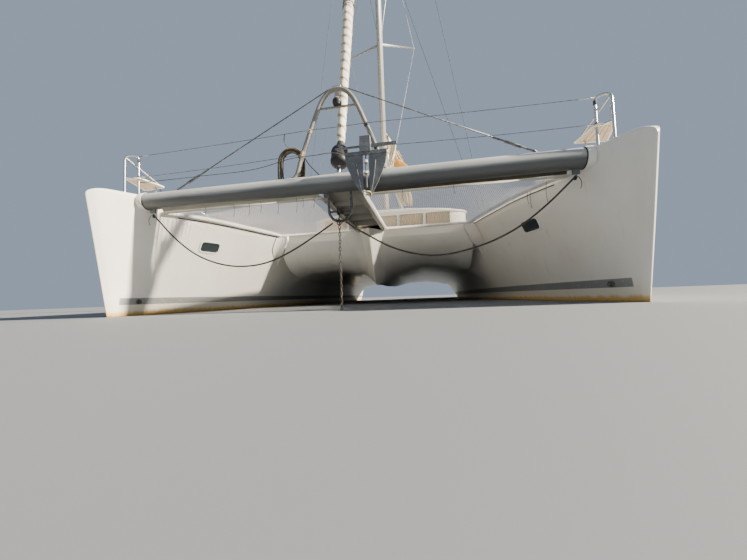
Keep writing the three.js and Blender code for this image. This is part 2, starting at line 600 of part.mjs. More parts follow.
function net(side) {
  const y0 = BEAM.y + BEAM.radius + 6;
  const outline = [[SPAR.half + GAP, y0], [2700, y0], [2700, -5900], [TUNNEL_X + 60, BRIDGE.front - 20],
    [TUNNEL_X + 60, BRIDGE.front - GAP], [SPAR.half + GAP, BRIDGE.front - GAP]];
  const sheet = plate(outline.map(([x, y]) => [side * x, y]), NET.z - NET.thick, NET.z);
  return cut(sheet, grownHulls[side > 0 ? 0 : 1]);
}
for (const [name, side] of SIDES) add(`trampoline_${name}`, net(side), LOOKS.net);

// Pulpits with their seats, and the two guard wires between them
const RAIL_TUBE = 14;
const WIRE = 4;
const PULPIT = [ // x, y, z of the feet and corners, port side
  { name: 'innerFoot', p: [2833, -6290, 1600] },
  { name: 'innerTop', p: [2833, -6290, 2189] },
  { name: 'outerTop', p: [2935, -6400, 2155] },
  { name: 'outerFoot', p: [2935, -6400, 1600] },
  { name: 'rearTop', p: [3270, -5900, 2165] },
  { name: 'rearFoot', p: [3300, -5750, 1540] },
];
const WIRES = { upper: 2212, lower: 1915 }; // z where the guard wires meet the striker arch
const ARCH_AT = { upper: 352, lower: 465 }; // and how far the arch's legs are from the centreline there
const pulpitPoint = (name, side) => {
  const [x, y, z] = PULPIT.find((entry) => entry.name === name).p;
  return [side * x, y, z];
};

function bowRails() {
  const shapes = [];
  for (const [, side] of SIDES) {
    const at = (name) => pulpitPoint(name, side);
    shapes.push(...tubeFrame(RAIL_TUBE, 6,
      [at('innerFoot'), at('innerTop'), at('outerTop'), at('outerFoot')],
      [at('outerTop'), at('rearTop'), at('rearFoot')]));
  }
  const front = BEAM.y - 28 - WIRE - 0.7;
  shapes.push(...tubeFrame(WIRE, 6, [
    [-2833, -6290, 2180], [-ARCH_AT.upper, front, WIRES.upper], [ARCH_AT.upper, front, WIRES.upper],
    [2833, -6290, 2180],
  ]));
  for (const [, side] of SIDES) {
    shapes.push(...tubeFrame(WIRE, 4, [
      [side * 2833, -6290, 1885], [side * 2300, BEAM.y - 20, 1893], [side * ARCH_AT.lower, front, WIRES.lower],
    ]));
  }
  return cut(join(...shapes), ...SIDES.map(([name]) => moved(hulls[name], 0, 0, GAP)));
}
add('bow_rails', bowRails(), LOOKS.steel);

const SEAT = [[2690, -6030], [2812, -6290], [2955, -6300], [3110, -6120]]; // x, y of the corners
for (const [name, side] of SIDES) {
  add(`bow_seat_${name}`, cut(
    plate(SEAT.map(([x, y]) => [side * x, y]), 1850, 1880),
    ...tubeFrame(RAIL_TUBE + GAP, 6, [pulpitPoint('innerFoot', side), pulpitPoint('innerTop', side)]),
  ), LOOKS.beige);
}

// Guard rails along each hull, from the first stanchion to the stern rail
const STANCHIONS = [-5200, -3500, -1800, -100, 1600, 3300];
const RAIL_HEIGHTS = [310, 610];

function outerEdge(y) {
  const rows = HULL_SECTIONS;
  const k = Math.max(1, rows.findIndex((row) => row[0] >= y));
  const t = (y - rows[k - 1][0]) / (rows[k][0] - rows[k - 1][0]);
  const mix = (column) => rows[k - 1][column] + t * (rows[k][column] - rows[k - 1][column]);
  return [HULL_X + mix(4) - 70, mix(6)];
}

function sideRail(side) {
  const foot = (y) => {
    const [x, z] = outerEdge(y);
    return [side * x, y, z];
  };
  const up = ([x, y, z], h) => [x, y, z + h];
  const posts = STANCHIONS.map((y) => rod(up(foot(y), 5), up(foot(y), 620), 11, 6));
  const stern = [foot(4600), foot(5300)];
  const tubes = tubeFrame(RAIL_TUBE, 6,
    [up(stern[0], GAP), up(stern[0], 640), up(stern[1], 640), up(stern[1], GAP)],
    [up(stern[0], 330), up(stern[1], 330)]);
  const wires = RAIL_HEIGHTS.flatMap((h) => [...STANCHIONS, 4600].slice(1)
    .map((y, i) => rod(up(foot(STANCHIONS[i]), h), up(foot(y), h), WIRE, 4)));
  return join(...posts, ...tubes, ...wires);
}
for (const [name, side] of SIDES) add(`guard_rail_${name}`, sideRail(side), LOOKS.steel);

// Mast with two sets of diamond stays, and the gooseneck's lugs
const SPREADERS = [ // z of the spreaders, where the wires meet the mast below and above, reach, sweep
  [7100, 3000, 11800, 930, 330],
  [12300, 7500, 16700, 800, 280],
];

function ellipseTube(x, y, z0, z1, halfX, halfY, sides) {
  return new THREE.CylinderGeometry(1, 1, z1 - z0, sides).rotateX(Math.PI / 2)
    .scale(halfX, halfY, 1).translate(x, y, (z0 + z1) / 2);
}

function mast() {
  const shapes = [ellipseTube(0, MAST.y, MAST.foot, MAST.top, MAST.halfX, MAST.halfY, 20)];
  for (const [z, below, above, reach, back] of SPREADERS) {
    for (const side of [-1, 1]) {
      const tip = [side * reach, MAST.y + back, z];
      shapes.push(rod([side * 40, MAST.y, z], tip, 30, 8, 18));
      shapes.push(rod([side * 70, MAST.y + 20, below], tip, 5, 4));
      shapes.push(rod(tip, [side * 70, MAST.y + 20, above], 5, 4));
      shapes.push(ball(tip, 20, 6));
    }
  }
  for (const h of [-45, 45]) {
    shapes.push(box(-25, 25, MAST.y + MAST.halfY - 20, GOOSENECK.y + 25, GOOSENECK.z + h - 8, GOOSENECK.z + h + 8));
  }
  shapes.push(rod([0, GOOSENECK.y, GOOSENECK.z - 50], [0, GOOSENECK.y, GOOSENECK.z + 50], 9, 8));
  shapes.push(box(-14, 14, STAY.head[1] - 30, MAST.y, STAY.head[2] + 1.95, STAY.head[2] + 90));
  return join(...shapes);
}
add('mast', mast(), LOOKS.alloy);

const SHROUDS = [ // x and y of the chainplate, z on the mast, wire radius
  [2920, -550, 17100, 7],
  [2880, -760, 10600, 6],
];

function shrouds(side) {
  const shapes = [box(side * 2905 - 45, side * 2905 + 45, -800, -510, DECK_Z + GAP, DECK_Z + 25)];
  for (const [x, y, z, radius] of SHROUDS) {
    const foot = [side * x, y, DECK_Z + 15];
    const head = [side * (MAST.halfX + radius + 2), MAST.y + 15, z];
    const screw = vec(foot).lerp(vec(head), 0.035).toArray();
    shapes.push(rod(foot, head, radius, 6), rod(foot, screw, 16, 8));
  }
  return join(...shapes);
}
for (const [name, side] of SIDES) add(`shrouds_${name}`, shrouds(side), LOOKS.steel);

// Forestay, and the headsail furled round it with its drum
const stayAt = (t) => vec(STAY.foot).lerp(vec(STAY.head), t).toArray();
const alongStay = (z) => stayAt((z - STAY.foot[2]) / (STAY.head[2] - STAY.foot[2]));

add('forestay', join(
  rod(stayAt(0), stayAt(1), 6, 8),
  box(-22, 22, BEAM.y - 22, BEAM.y + 22, STAY.foot[2] - 60 + GAP, STAY.foot[2] + 12),
), LOOKS.steel);

function furledSail() {
  const drum = rod(alongStay(1745), alongStay(1905), 112, 20);
  const cone = rod(alongStay(1890), alongStay(2045), 105, 16, 45);
  const roll = rod(alongStay(2000), alongStay(4700), 56, 12, 74);
  const upper = rod(alongStay(4680), alongStay(16600), 84, 12, 32);
  const swivel = rod(alongStay(16580), alongStay(16900), 30, 10);
  return cut(join(drum, cone, roll, upper, swivel), rod(alongStay(1600), alongStay(17000), 7, 12));
}
add('furled_headsail', furledSail(), LOOKS.sailcloth);

// Boom, the lazy bag with the mainsail stowed in it, and the cloth that hangs from its fore end
function boom() {
  const spar = new THREE.CylinderGeometry(1, 1, BOOM_END - GOOSENECK.y - 90, 16).scale(75, 1, 115)
    .translate(0, (BOOM_END + GOOSENECK.y + 90) / 2, GOOSENECK.z);
  const tang = box(-18, 18, GOOSENECK.y - 20, GOOSENECK.y + 120, GOOSENECK.z - 32, GOOSENECK.z + 32);
  const pin = rod([0, GOOSENECK.y, GOOSENECK.z - 80], [0, GOOSENECK.y, GOOSENECK.z + 80], 9.9, 12);
  return cut(join(spar, tang), pin);
}
add('boom', boom(), LOOKS.alloy);

const BAG_SECTIONS = [ // y, half width, top z
  [GOOSENECK.y + 110, 110, 4800],
  [-900, 170, 4850],
  [1200, 175, 4760],
  [3200, 130, 4600],
  [4250, 70, 4430],
];

function lazyBag() {
  const bottom = GOOSENECK.z + 115 + GAP;
  const rings = BAG_SECTIONS.map(([y, half, top]) => [
    [-60, bottom], [60, bottom], [half, bottom + 160], [half * 0.8, top - 60], [half * 0.3, top],
    [-half * 0.3, top], [-half * 0.8, top - 60], [-half, bottom + 160],
  ].map(([x, z]) => [x, y, z]));
  return loft(rings);
}
add('lazy_bag', lazyBag(), LOOKS.sailcloth);

const CLOTH = [ // z, x of its two edges, y
  [4450, 60, 300, -900],
  [3760, 150, 545, -905],
  [3130, 270, 670, -910],
  [2760, 395, 730, -915],
];

function hangingCloth() {
  const rings = CLOTH.map(([z, x0, x1, y]) => [[x0, y - 8, z], [x1, y - 8, z], [x1, y + 8, z], [x0, y + 8, z]]);
  return cut(loft(rings, ([x, y]) => [x, y]), moved(lazyBag(), GAP, 0, 0));
}
add('hanging_cloth', hangingCloth(), LOOKS.sailcloth);

// Deck hatches, cleats and the folding boarding ladder
const HATCH = { x: HULL_X, y: -2300, half: 260, thick: 34 };
const LOCKER = { x: 900, y: -3300, halfX: 380, halfY: 300, thick: 30 };
for (const [name, side] of SIDES) {
  const x = side * HATCH.x;
  add(`deck_hatch_${name}`, box(x - HATCH.half, x + HATCH.half, HATCH.y - HATCH.half, HATCH.y + HATCH.half,
    DECK_Z + GAP, DECK_Z + HATCH.thick), LOOKS.glass);
  add(`locker_lid_${name}`, box(side * LOCKER.x - LOCKER.halfX, side * LOCKER.x + LOCKER.halfX,
    LOCKER.y - LOCKER.halfY, LOCKER.y + LOCKER.halfY, DECK_Z + GAP, DECK_Z + LOCKER.thick), LOOKS.gelcoat);
}

function ladder() {
  const { x, y, z, half, tube, rise } = LADDER;
  const sides = [-1, 1].map((way) => rod([x + way * half, y, z], [x + way * half, y, z + rise], tube, 8));
  const rungs = [210, 420, 630].map((h) => rod([x - half, y, z + h], [x + half, y, z + h], tube * 0.9, 8));
  const axle = rod([x - half - 20 + GAP, y, z], [x + half + 20 - GAP, y, z], 9, 8);
  return join(...sides, ...rungs, axle);
}
add('boarding_ladder', ladder(), LOOKS.steel);

// Bridle ropes from the beam's ends to the chain, with their real sag
const BRIDLES = { // x and z of the points along each rope, in the plane just in front of the beam
  port: [[2600, 1352], [2480, 1235], [2305, 1075], [1946, 815], [1500, 640], [1063, 585], [640, 690], [324, 868],
    [80, 1030]],
  starboard: [[-2600, 1352], [-2480, 1225], [-2300, 1040], [-1881, 735], [-1400, 590], [-972, 605], [-548, 765],
    [-318, 890], [-80, 1030]],
};
const BRIDLE = { y: BEAM.y, endY: BEAM.y - 60, radius: 10 };

for (const [name] of SIDES) {
  const points = BRIDLES[name];
  const reach = Math.abs(points[0][0]);
  const path = points.map(([x, z]) => {
    const t = 1 - Math.abs(x) / reach;
    return [x, BRIDLE.y + (BRIDLE.endY - BRIDLE.y) * t * t, z];
  });
  add(`bridle_${name}`, sweep(path, BRIDLE.radius, 8, 62), LOOKS.rope);
}

// A hank of spare line hung from the upper guard wire, just behind the crossbeam
const HANK = { x: -680, y: -6135, top: 2130, bottom: 1560, half: 198, hole: 112, thick: 62 };

function hank() {
  const stadium = (half, top, bottom) => {
    const shape = new THREE.Shape();
    shape.absarc(0, top - half, half, 0, Math.PI, false);
    shape.absarc(0, bottom + half, half, Math.PI, 2 * Math.PI, false);
    return shape;
  };
  const outline = stadium(HANK.half, HANK.top, HANK.bottom);
  const rim = HANK.half - HANK.hole;
  outline.holes.push(stadium(HANK.hole, HANK.top - rim, HANK.bottom + rim));
  const coil = new THREE.ExtrudeGeometry(outline, { depth: HANK.thick, bevelEnabled: false, curveSegments: 8 })
    .rotateX(Math.PI / 2).translate(HANK.x, HANK.y + HANK.thick / 2, 0);
  const tie = rod([HANK.x, HANK.y, HANK.top - 20], [HANK.x, -6318.1, 2206], 5, 6);
  return join(coil, tie);
}
add('rope_hank', hank(), LOOKS.rope);

export default boat;
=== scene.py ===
# %% [markdown]
# # A cruising catamaran at anchor, seen from the water
#
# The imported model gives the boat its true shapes, joints and places. This lesson dresses it: each cell makes
# one piece or one finish of the real boat, says what it is made of there, and why it is built this way here.
# Metres, +X to port, +Y aft, +Z up, and the water lies at z = 0.

# %% Load the frame
import json
import math

import bpy
import numpy as np
from mathutils import Matrix
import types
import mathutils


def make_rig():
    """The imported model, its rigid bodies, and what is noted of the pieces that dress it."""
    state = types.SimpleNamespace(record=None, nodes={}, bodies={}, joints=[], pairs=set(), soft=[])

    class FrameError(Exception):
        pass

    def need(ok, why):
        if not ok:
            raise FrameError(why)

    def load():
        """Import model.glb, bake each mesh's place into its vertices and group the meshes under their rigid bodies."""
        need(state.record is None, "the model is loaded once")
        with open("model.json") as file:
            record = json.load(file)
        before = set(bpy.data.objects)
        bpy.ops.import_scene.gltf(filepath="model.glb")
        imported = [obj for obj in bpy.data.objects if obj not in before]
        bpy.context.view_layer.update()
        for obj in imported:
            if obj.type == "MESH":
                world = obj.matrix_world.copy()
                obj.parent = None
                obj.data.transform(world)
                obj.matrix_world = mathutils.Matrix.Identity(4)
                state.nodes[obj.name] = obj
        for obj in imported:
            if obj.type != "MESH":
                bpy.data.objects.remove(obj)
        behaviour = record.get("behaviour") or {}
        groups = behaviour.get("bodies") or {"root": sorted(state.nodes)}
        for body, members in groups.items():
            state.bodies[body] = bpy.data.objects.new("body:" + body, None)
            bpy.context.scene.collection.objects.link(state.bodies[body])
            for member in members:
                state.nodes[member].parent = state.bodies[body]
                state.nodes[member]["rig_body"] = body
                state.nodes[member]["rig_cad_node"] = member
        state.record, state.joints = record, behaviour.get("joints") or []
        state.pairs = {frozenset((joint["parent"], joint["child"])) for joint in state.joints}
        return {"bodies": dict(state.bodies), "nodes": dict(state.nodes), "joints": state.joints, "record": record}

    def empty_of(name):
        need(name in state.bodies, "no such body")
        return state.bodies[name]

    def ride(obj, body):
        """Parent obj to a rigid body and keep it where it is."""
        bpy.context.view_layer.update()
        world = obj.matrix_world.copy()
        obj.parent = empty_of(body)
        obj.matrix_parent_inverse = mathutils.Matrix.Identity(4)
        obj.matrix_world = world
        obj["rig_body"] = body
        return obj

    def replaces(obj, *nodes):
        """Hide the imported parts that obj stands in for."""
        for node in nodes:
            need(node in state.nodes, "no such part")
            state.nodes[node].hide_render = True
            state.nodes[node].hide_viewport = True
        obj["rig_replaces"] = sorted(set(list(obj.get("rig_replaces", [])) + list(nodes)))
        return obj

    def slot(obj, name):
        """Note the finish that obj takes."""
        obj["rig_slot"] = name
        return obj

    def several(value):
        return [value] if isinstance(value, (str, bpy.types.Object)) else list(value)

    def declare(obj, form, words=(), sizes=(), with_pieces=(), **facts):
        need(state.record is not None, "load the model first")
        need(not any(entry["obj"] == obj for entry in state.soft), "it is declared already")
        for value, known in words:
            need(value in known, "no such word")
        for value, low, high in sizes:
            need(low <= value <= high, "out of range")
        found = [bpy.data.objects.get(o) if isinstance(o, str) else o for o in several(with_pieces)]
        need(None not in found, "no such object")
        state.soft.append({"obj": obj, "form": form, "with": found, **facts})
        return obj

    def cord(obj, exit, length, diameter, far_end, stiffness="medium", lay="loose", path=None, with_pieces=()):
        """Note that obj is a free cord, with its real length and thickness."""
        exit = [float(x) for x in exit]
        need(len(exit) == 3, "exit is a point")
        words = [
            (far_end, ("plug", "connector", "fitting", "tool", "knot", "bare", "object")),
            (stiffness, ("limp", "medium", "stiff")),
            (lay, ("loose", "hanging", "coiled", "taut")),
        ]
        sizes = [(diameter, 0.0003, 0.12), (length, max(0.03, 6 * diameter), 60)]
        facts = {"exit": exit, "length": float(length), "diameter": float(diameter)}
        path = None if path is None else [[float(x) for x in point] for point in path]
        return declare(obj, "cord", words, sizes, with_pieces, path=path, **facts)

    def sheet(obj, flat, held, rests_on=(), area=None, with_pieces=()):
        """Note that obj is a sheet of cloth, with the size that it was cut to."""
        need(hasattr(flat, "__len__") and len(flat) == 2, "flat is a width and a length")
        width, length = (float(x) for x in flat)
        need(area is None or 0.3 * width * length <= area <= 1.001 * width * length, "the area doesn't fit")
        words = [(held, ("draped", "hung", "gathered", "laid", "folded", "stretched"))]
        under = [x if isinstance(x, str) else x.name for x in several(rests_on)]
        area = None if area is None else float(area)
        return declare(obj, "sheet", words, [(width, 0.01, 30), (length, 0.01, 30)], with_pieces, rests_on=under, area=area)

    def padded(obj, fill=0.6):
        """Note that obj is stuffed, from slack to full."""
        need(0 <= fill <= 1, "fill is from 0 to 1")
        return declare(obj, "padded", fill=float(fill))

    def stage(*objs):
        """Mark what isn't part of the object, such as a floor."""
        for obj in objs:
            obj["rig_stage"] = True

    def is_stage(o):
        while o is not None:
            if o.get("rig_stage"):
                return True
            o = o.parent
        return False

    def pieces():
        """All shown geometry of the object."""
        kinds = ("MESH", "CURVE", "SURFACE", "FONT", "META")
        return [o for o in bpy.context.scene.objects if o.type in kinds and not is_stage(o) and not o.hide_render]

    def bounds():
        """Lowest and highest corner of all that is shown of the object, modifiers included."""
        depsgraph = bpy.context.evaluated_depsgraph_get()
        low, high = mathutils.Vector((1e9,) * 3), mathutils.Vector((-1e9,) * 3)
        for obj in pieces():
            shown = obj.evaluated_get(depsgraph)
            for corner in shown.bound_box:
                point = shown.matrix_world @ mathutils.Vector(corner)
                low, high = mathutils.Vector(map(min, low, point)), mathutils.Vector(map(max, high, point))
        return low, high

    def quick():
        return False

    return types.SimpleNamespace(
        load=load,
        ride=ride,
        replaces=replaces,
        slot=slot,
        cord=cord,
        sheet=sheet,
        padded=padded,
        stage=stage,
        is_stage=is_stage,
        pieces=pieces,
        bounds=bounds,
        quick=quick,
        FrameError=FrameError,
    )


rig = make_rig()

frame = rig.load()
cad_box = [list(corner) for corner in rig.bounds()]
print("frame", len(frame["nodes"]), "nodes", len(frame["bodies"]), "bodies")


def shown(name, data):
    """An object of the scene that shows a mesh, a lamp or a camera."""
    thing = bpy.data.objects.new(name, data)
    bpy.context.scene.collection.objects.link(thing)
    return thing


def plain(name, vertices, faces):
    """An object of bare points and faces."""
    mesh = bpy.data.meshes.new(name)
    mesh.from_pydata(vertices, [], faces)
    return shown(name, mesh)


def aimed(thing, right, upward, backward, place):
    """Stands a camera or a lamp at place, looking away from its backward direction."""
    pose = np.eye(4)
    pose[:3] = np.column_stack([right, upward, backward, place])
    thing.matrix_world = Matrix(pose.tolist())


def unit(vectors):
    """Vectors brought to length one."""
    return vectors / np.linalg.norm(vectors, axis=-1, keepdims=True)


# %% [markdown]
# ## The camera
#
# The picture was taken by a swimmer with a very wide lens, just off the bows and a hand's breadth above the
# water. A straight-line lens of the same reach stands in for it: the eye is in the same place, so everything
# still lines up in depth, and only the bulge of the wide lens is missing.

# %% Camera
IMAGE_WIDTH, FOCAL_PIXELS, SENSOR = 747, 309, 36.0
EYE = np.array([0.979, -9.842, 0.139])
YAW, PITCH, ROLL = np.radians([9.67, 3.15, -2.03])

forward = np.array([-np.sin(YAW) * np.cos(PITCH), np.cos(YAW) * np.cos(PITCH), np.sin(PITCH)])
level = np.array([np.cos(YAW), np.sin(YAW), 0.0])
above = np.cross(level, forward)
right = level * np.cos(ROLL) + above * np.sin(ROLL)
upward = above * np.cos(ROLL) - level * np.sin(ROLL)

camera = shown("camera", bpy.data.cameras.new("camera"))
camera.data.type = "PERSP"
camera.data.sensor_width, camera.data.lens = SENSOR, FOCAL_PIXELS * SENSOR / IMAGE_WIDTH
camera.data.dof.use_dof = False
camera.data.clip_start, camera.data.clip_end = 0.05, 500
aimed(camera, right, upward, -forward, EYE)
bpy.context.scene.camera = camera
print("camera lens", round(camera.data.lens, 2), "mm")

# %% [markdown]
# ## Surfaces from numbers
#
# Nearly every piece on a boat is a profile carried along a path: tubes, ropes, rails, hull skins. So three
# small helpers do most of the making. One turns a grid of points into faces, one sweeps a round section
# along a path, and one puts the parts of a piece into a mesh that rides on a body of the frame.

# %% Grid of points to faces
def grid(points, around=True, ends=True, across=None, along=None):
    """Faces over points[row, column]: each face joins a point to its neighbours in its row and the next.

    around closes every row into a ring, ends fills the first and last ring with a fan of triangles about its
    middle, and without ends a last row that repeats the first is joined to it. across and along are the
    texture's two coordinates, in metres, for columns and rows.
    """
    points = np.asarray(points, float)
    rows, columns = points.shape[:2]
    wide = columns + 1 if around else columns
    across = np.linspace(0, 1, wide) if across is None else np.asarray(across, float)
    along = np.linspace(0, 1, rows) if along is None else np.asarray(along, float)
    r, c = np.meshgrid(np.arange(rows - 1), np.arange(wide - 1), indexing="ij")
    r, c = r.ravel(), c.ravel()
    corners = [(r, c), (r, c + 1), (r + 1, c + 1), (r + 1, c)]
    kept = rows - 1 if not ends and np.allclose(points[0], points[-1]) else rows
    faces = np.stack([i % kept * columns + j % columns for i, j in corners], 1)
    uv = np.stack([np.stack([across[j], along[i]], 1) for i, j in corners], 1)
    vertices = points[:kept].reshape(-1, 3)
    faces, uv = faces.tolist(), uv.reshape(-1, 2)
    if around and ends:
        ring = np.arange(columns)
        for row, order in ((0, ring[::-1]), (rows - 1, ring)):
            middle = len(vertices)
            vertices = np.vstack([vertices, points[row].mean(0)])
            rim = row * columns + order
            fan = np.stack([rim, np.roll(rim, -1), np.full(columns, middle)], 1)
            faces += fan.tolist()
            uv = np.vstack([uv, np.tile([across[0], along[row]], (3 * columns, 1))])
    return vertices, faces, uv


def facing(points, side):
    """The surface as it is for port, and with its columns turned round for starboard, to face outward."""
    return points if side > 0 else points[:, ::-1]


def thin(front, shift):
    """A thin closed shell: across the surface, and back across its copy that is moved by shift."""
    return np.concatenate([front, (front + shift)[:, ::-1]], axis=1)


# %% Smooth line through a few points
def run_of(path):
    """How far along a line of points each of them lies."""
    return np.concatenate([[0], np.cumsum(np.linalg.norm(np.diff(path, axis=0), axis=1))])


def length_of(path):
    """Length of a line of points."""
    return float(run_of(path)[-1])


def hermite(u, length, start, stop, slope_start, slope_stop):
    """A cubic from start to stop with these slopes at its ends, at the share u of its length."""
    return ((1 + 2 * u) * (1 - u) ** 2 * start + u * (1 - u) ** 2 * length * slope_start
            + u * u * (3 - 2 * u) * stop + u * u * (u - 1) * length * slope_stop)


def through(points, count=48):
    """Evenly stepped points on a cubic that passes through all the given points.

    Each stretch is a Hermite cubic, and its slope at a point is that of the parabola through the point and
    its two neighbours, by distance along the line.
    """
    p = np.asarray(points, float)
    t = run_of(p)
    slope = np.gradient(p, t, axis=0, edge_order=2 if len(p) > 2 else 1)
    s = np.linspace(0, t[-1], count)
    k = np.clip(np.searchsorted(t, s, side="right") - 1, 0, len(p) - 2)
    h = (t[k + 1] - t[k])[:, None]
    return hermite((s - t[k])[:, None] / h, h, p[k], p[k + 1], slope[k], slope[k + 1])


def rounded(corners, radius, steps=6):
    """A path of straight runs whose corners are bent to arcs, as a tube is bent round a former.

    At each corner the path leaves the straight at a distance of radius and follows a quadratic Bezier curve.
    """
    p = [np.asarray(q, float) for q in corners]
    path = [p[0]]
    u = np.linspace(0, 1, steps)[:, None]
    for before, at, after in zip(p, p[1:], p[2:]):
        reach = min(radius, np.linalg.norm(at - before) / 2.05, np.linalg.norm(after - at) / 2.05)
        a, b = at + unit(before - at) * reach, at + unit(after - at) * reach
        path.extend((1 - u) ** 2 * a + 2 * u * (1 - u) * at + u * u * b)
    return np.array(path + [p[-1]])


# %% Round section along a path
def swept(path, radius, sides=12, flat=1.0):
    """A tube: at each path point a ring of radius in the plane across the path, squeezed by flat one way.

    The ring's first direction is the normal of the plane that the path lies nearest to, so it never twists.
    radius may be one number or one for each point.
    """
    path = np.asarray(path, float)
    tangent = unit(np.gradient(path, axis=0))
    centred = path - path.mean(0)
    spread = np.linalg.svd(centred, full_matrices=True)[2]
    across = spread[2] if len(path) > 2 and np.abs(centred @ spread[1]).max() > 1e-5 else None
    if across is None:
        across = np.eye(3)[np.abs(tangent[0]).argmin()]
    side = unit(np.cross(tangent, across))
    up = np.cross(tangent, side)
    angle = np.linspace(0, 2 * np.pi, sides, endpoint=False)
    size = np.broadcast_to(np.asarray(radius, float), (len(path),))[:, None, None]
    ring = (side[:, None] * np.cos(angle)[None, :, None] * flat + up[:, None] * np.sin(angle)[None, :, None])
    girth = float(np.mean(size)) * 2 * np.pi
    return grid(path[:, None] + size * ring, across=np.linspace(0, girth, sides + 1), along=run_of(path))


def bead(path, radius, sides=6, flat=1.0):
    """A tube round a closed path, such as a seal or a piped seam."""
    return swept(np.vstack([path, path[:2]]), radius, sides, flat)


def at_height(plan, height):
    """A line in plan, lifted to one height or to one for each point."""
    return np.column_stack([plan, np.broadcast_to(height, len(plan))])


# %% Parts to a finished piece
PIECES = {}


def rides(thing, body, replaces, slot):
    """Ties a piece to its body of the frame, to the nodes it stands for and to its look in the library."""
    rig.ride(thing, body)
    if replaces:
        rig.replaces(thing, *replaces)
    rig.slot(thing, slot)
    PIECES[thing.name] = thing


def rounded_edges(thing, width, turn=30):
    """A small bevel on every edge where two faces meet at more than turn degrees."""
    if width:
        edge = thing.modifiers.new("edge", "BEVEL")
        edge.width, edge.segments, edge.limit_method = width, 2, "ANGLE"
        edge.angle_limit = math.radians(turn)


def piece(name, parts, material, slot, body="boat", replaces=(), bevel=0.0, angle=None):
    """One mesh object from several (vertices, faces, texture points) parts, riding on a body of the frame."""
    vertices, faces, uv, base = [], [], [], 0
    for part_vertices, part_faces, part_uv in parts:
        vertices.append(np.asarray(part_vertices, float))
        faces += [[i + base for i in face] for face in part_faces]
        uv.append(np.asarray(part_uv, float))
        base += len(part_vertices)
    mesh = bpy.data.meshes.new(name)
    mesh.from_pydata(np.vstack(vertices), [], faces)
    layer = mesh.uv_layers.new(name="UVMap")
    layer.data.foreach_set("uv", np.vstack(uv).astype(np.float32).ravel())
    mesh.materials.append(material)
    mesh.polygons.foreach_set("use_smooth", [True] * len(mesh.polygons))
    mesh.validate()
    mesh.update()
    if angle is not None:
        mesh.set_sharp_from_angle(angle=math.radians(angle))
    thing = shown(name, mesh)
    rounded_edges(thing, bevel)
    rides(thing, body, replaces, slot)
    print("made", name, len(mesh.polygons), "faces")
    return thing


# %% Blocks
def block(low, high, taper=1.0):
    """A box between two corners; taper shrinks its top about its middle. Faces carry size as texture."""
    low, high = np.asarray(low, float), np.asarray(high, float)
    middle = (low + high) / 2
    x, y = np.array([low[0], high[0], high[0], low[0]]), np.array([low[1], low[1], high[1], high[1]])
    bottom = np.stack([x, y, np.full(4, low[2])], 1)
    top = np.stack([middle[0] + (x - middle[0]) * taper, middle[1] + (y - middle[1]) * taper,
                    np.full(4, high[2])], 1)
    faces = [[3, 2, 1, 0], [4, 5, 6, 7], [0, 1, 5, 4], [1, 2, 6, 5], [2, 3, 7, 6], [3, 0, 4, 7]]
    vertices = np.vstack([bottom, top])
    uv = np.vstack([vertices[face][:, :2] for face in faces])
    return vertices, faces, uv

# %% [markdown]
# ## The three free ropes
#
# Two ropes form the anchor bridle: each runs from a lug near the end of the crossbeam down to the chain,
# hangs under its own weight, and is made fast there. A hank of spare line hangs from the upper guard wire.
# They are made first, because their solids in the model must lie where the ropes lie.

# %% Bridle routes
BEAM_Y, BEAM_Z, BEAM_RADIUS, BEAM_END, LUG_X = -6.294, 1.530, 0.110, 2.760, 2.600
CHAIN_Y = BEAM_Y - 0.0563
BRIDLE_ROUTES = {
    "port": [(2.600, 1.352), (2.480, 1.235), (2.305, 1.075), (1.946, 0.815), (1.500, 0.640), (1.063, 0.585),
             (0.640, 0.690), (0.324, 0.868), (0.080, 1.030)],
    "starboard": [(-2.600, 1.352), (-2.480, 1.225), (-2.300, 1.040), (-1.881, 0.735), (-1.400, 0.590),
                  (-0.972, 0.605), (-0.548, 0.765), (-0.318, 0.890), (-0.080, 1.030)],
}
BRIDLE_RADIUS, BRIDLE_END_Y = 0.010, BEAM_Y - 0.060


def bridle_path(side):
    """The route's x and z, drawn forward to the chain by the square of how far along it has come."""
    x, z = np.array(BRIDLE_ROUTES[side]).T
    share = 1 - np.abs(x) / abs(x[0])
    return through(np.stack([x, BEAM_Y + (BRIDLE_END_Y - BEAM_Y) * share ** 2, z], 1), 90)


# %% Hank route
HANK = {"x": -0.680, "y": -6.135, "top": 2.130, "bottom": 1.560, "half": 0.198, "hole": 0.112, "thick": 0.062}
HANK_TURNS, HANK_RADIUS = 14, 0.0062
TIE_END = (-0.680, -6.3181, 2.206)


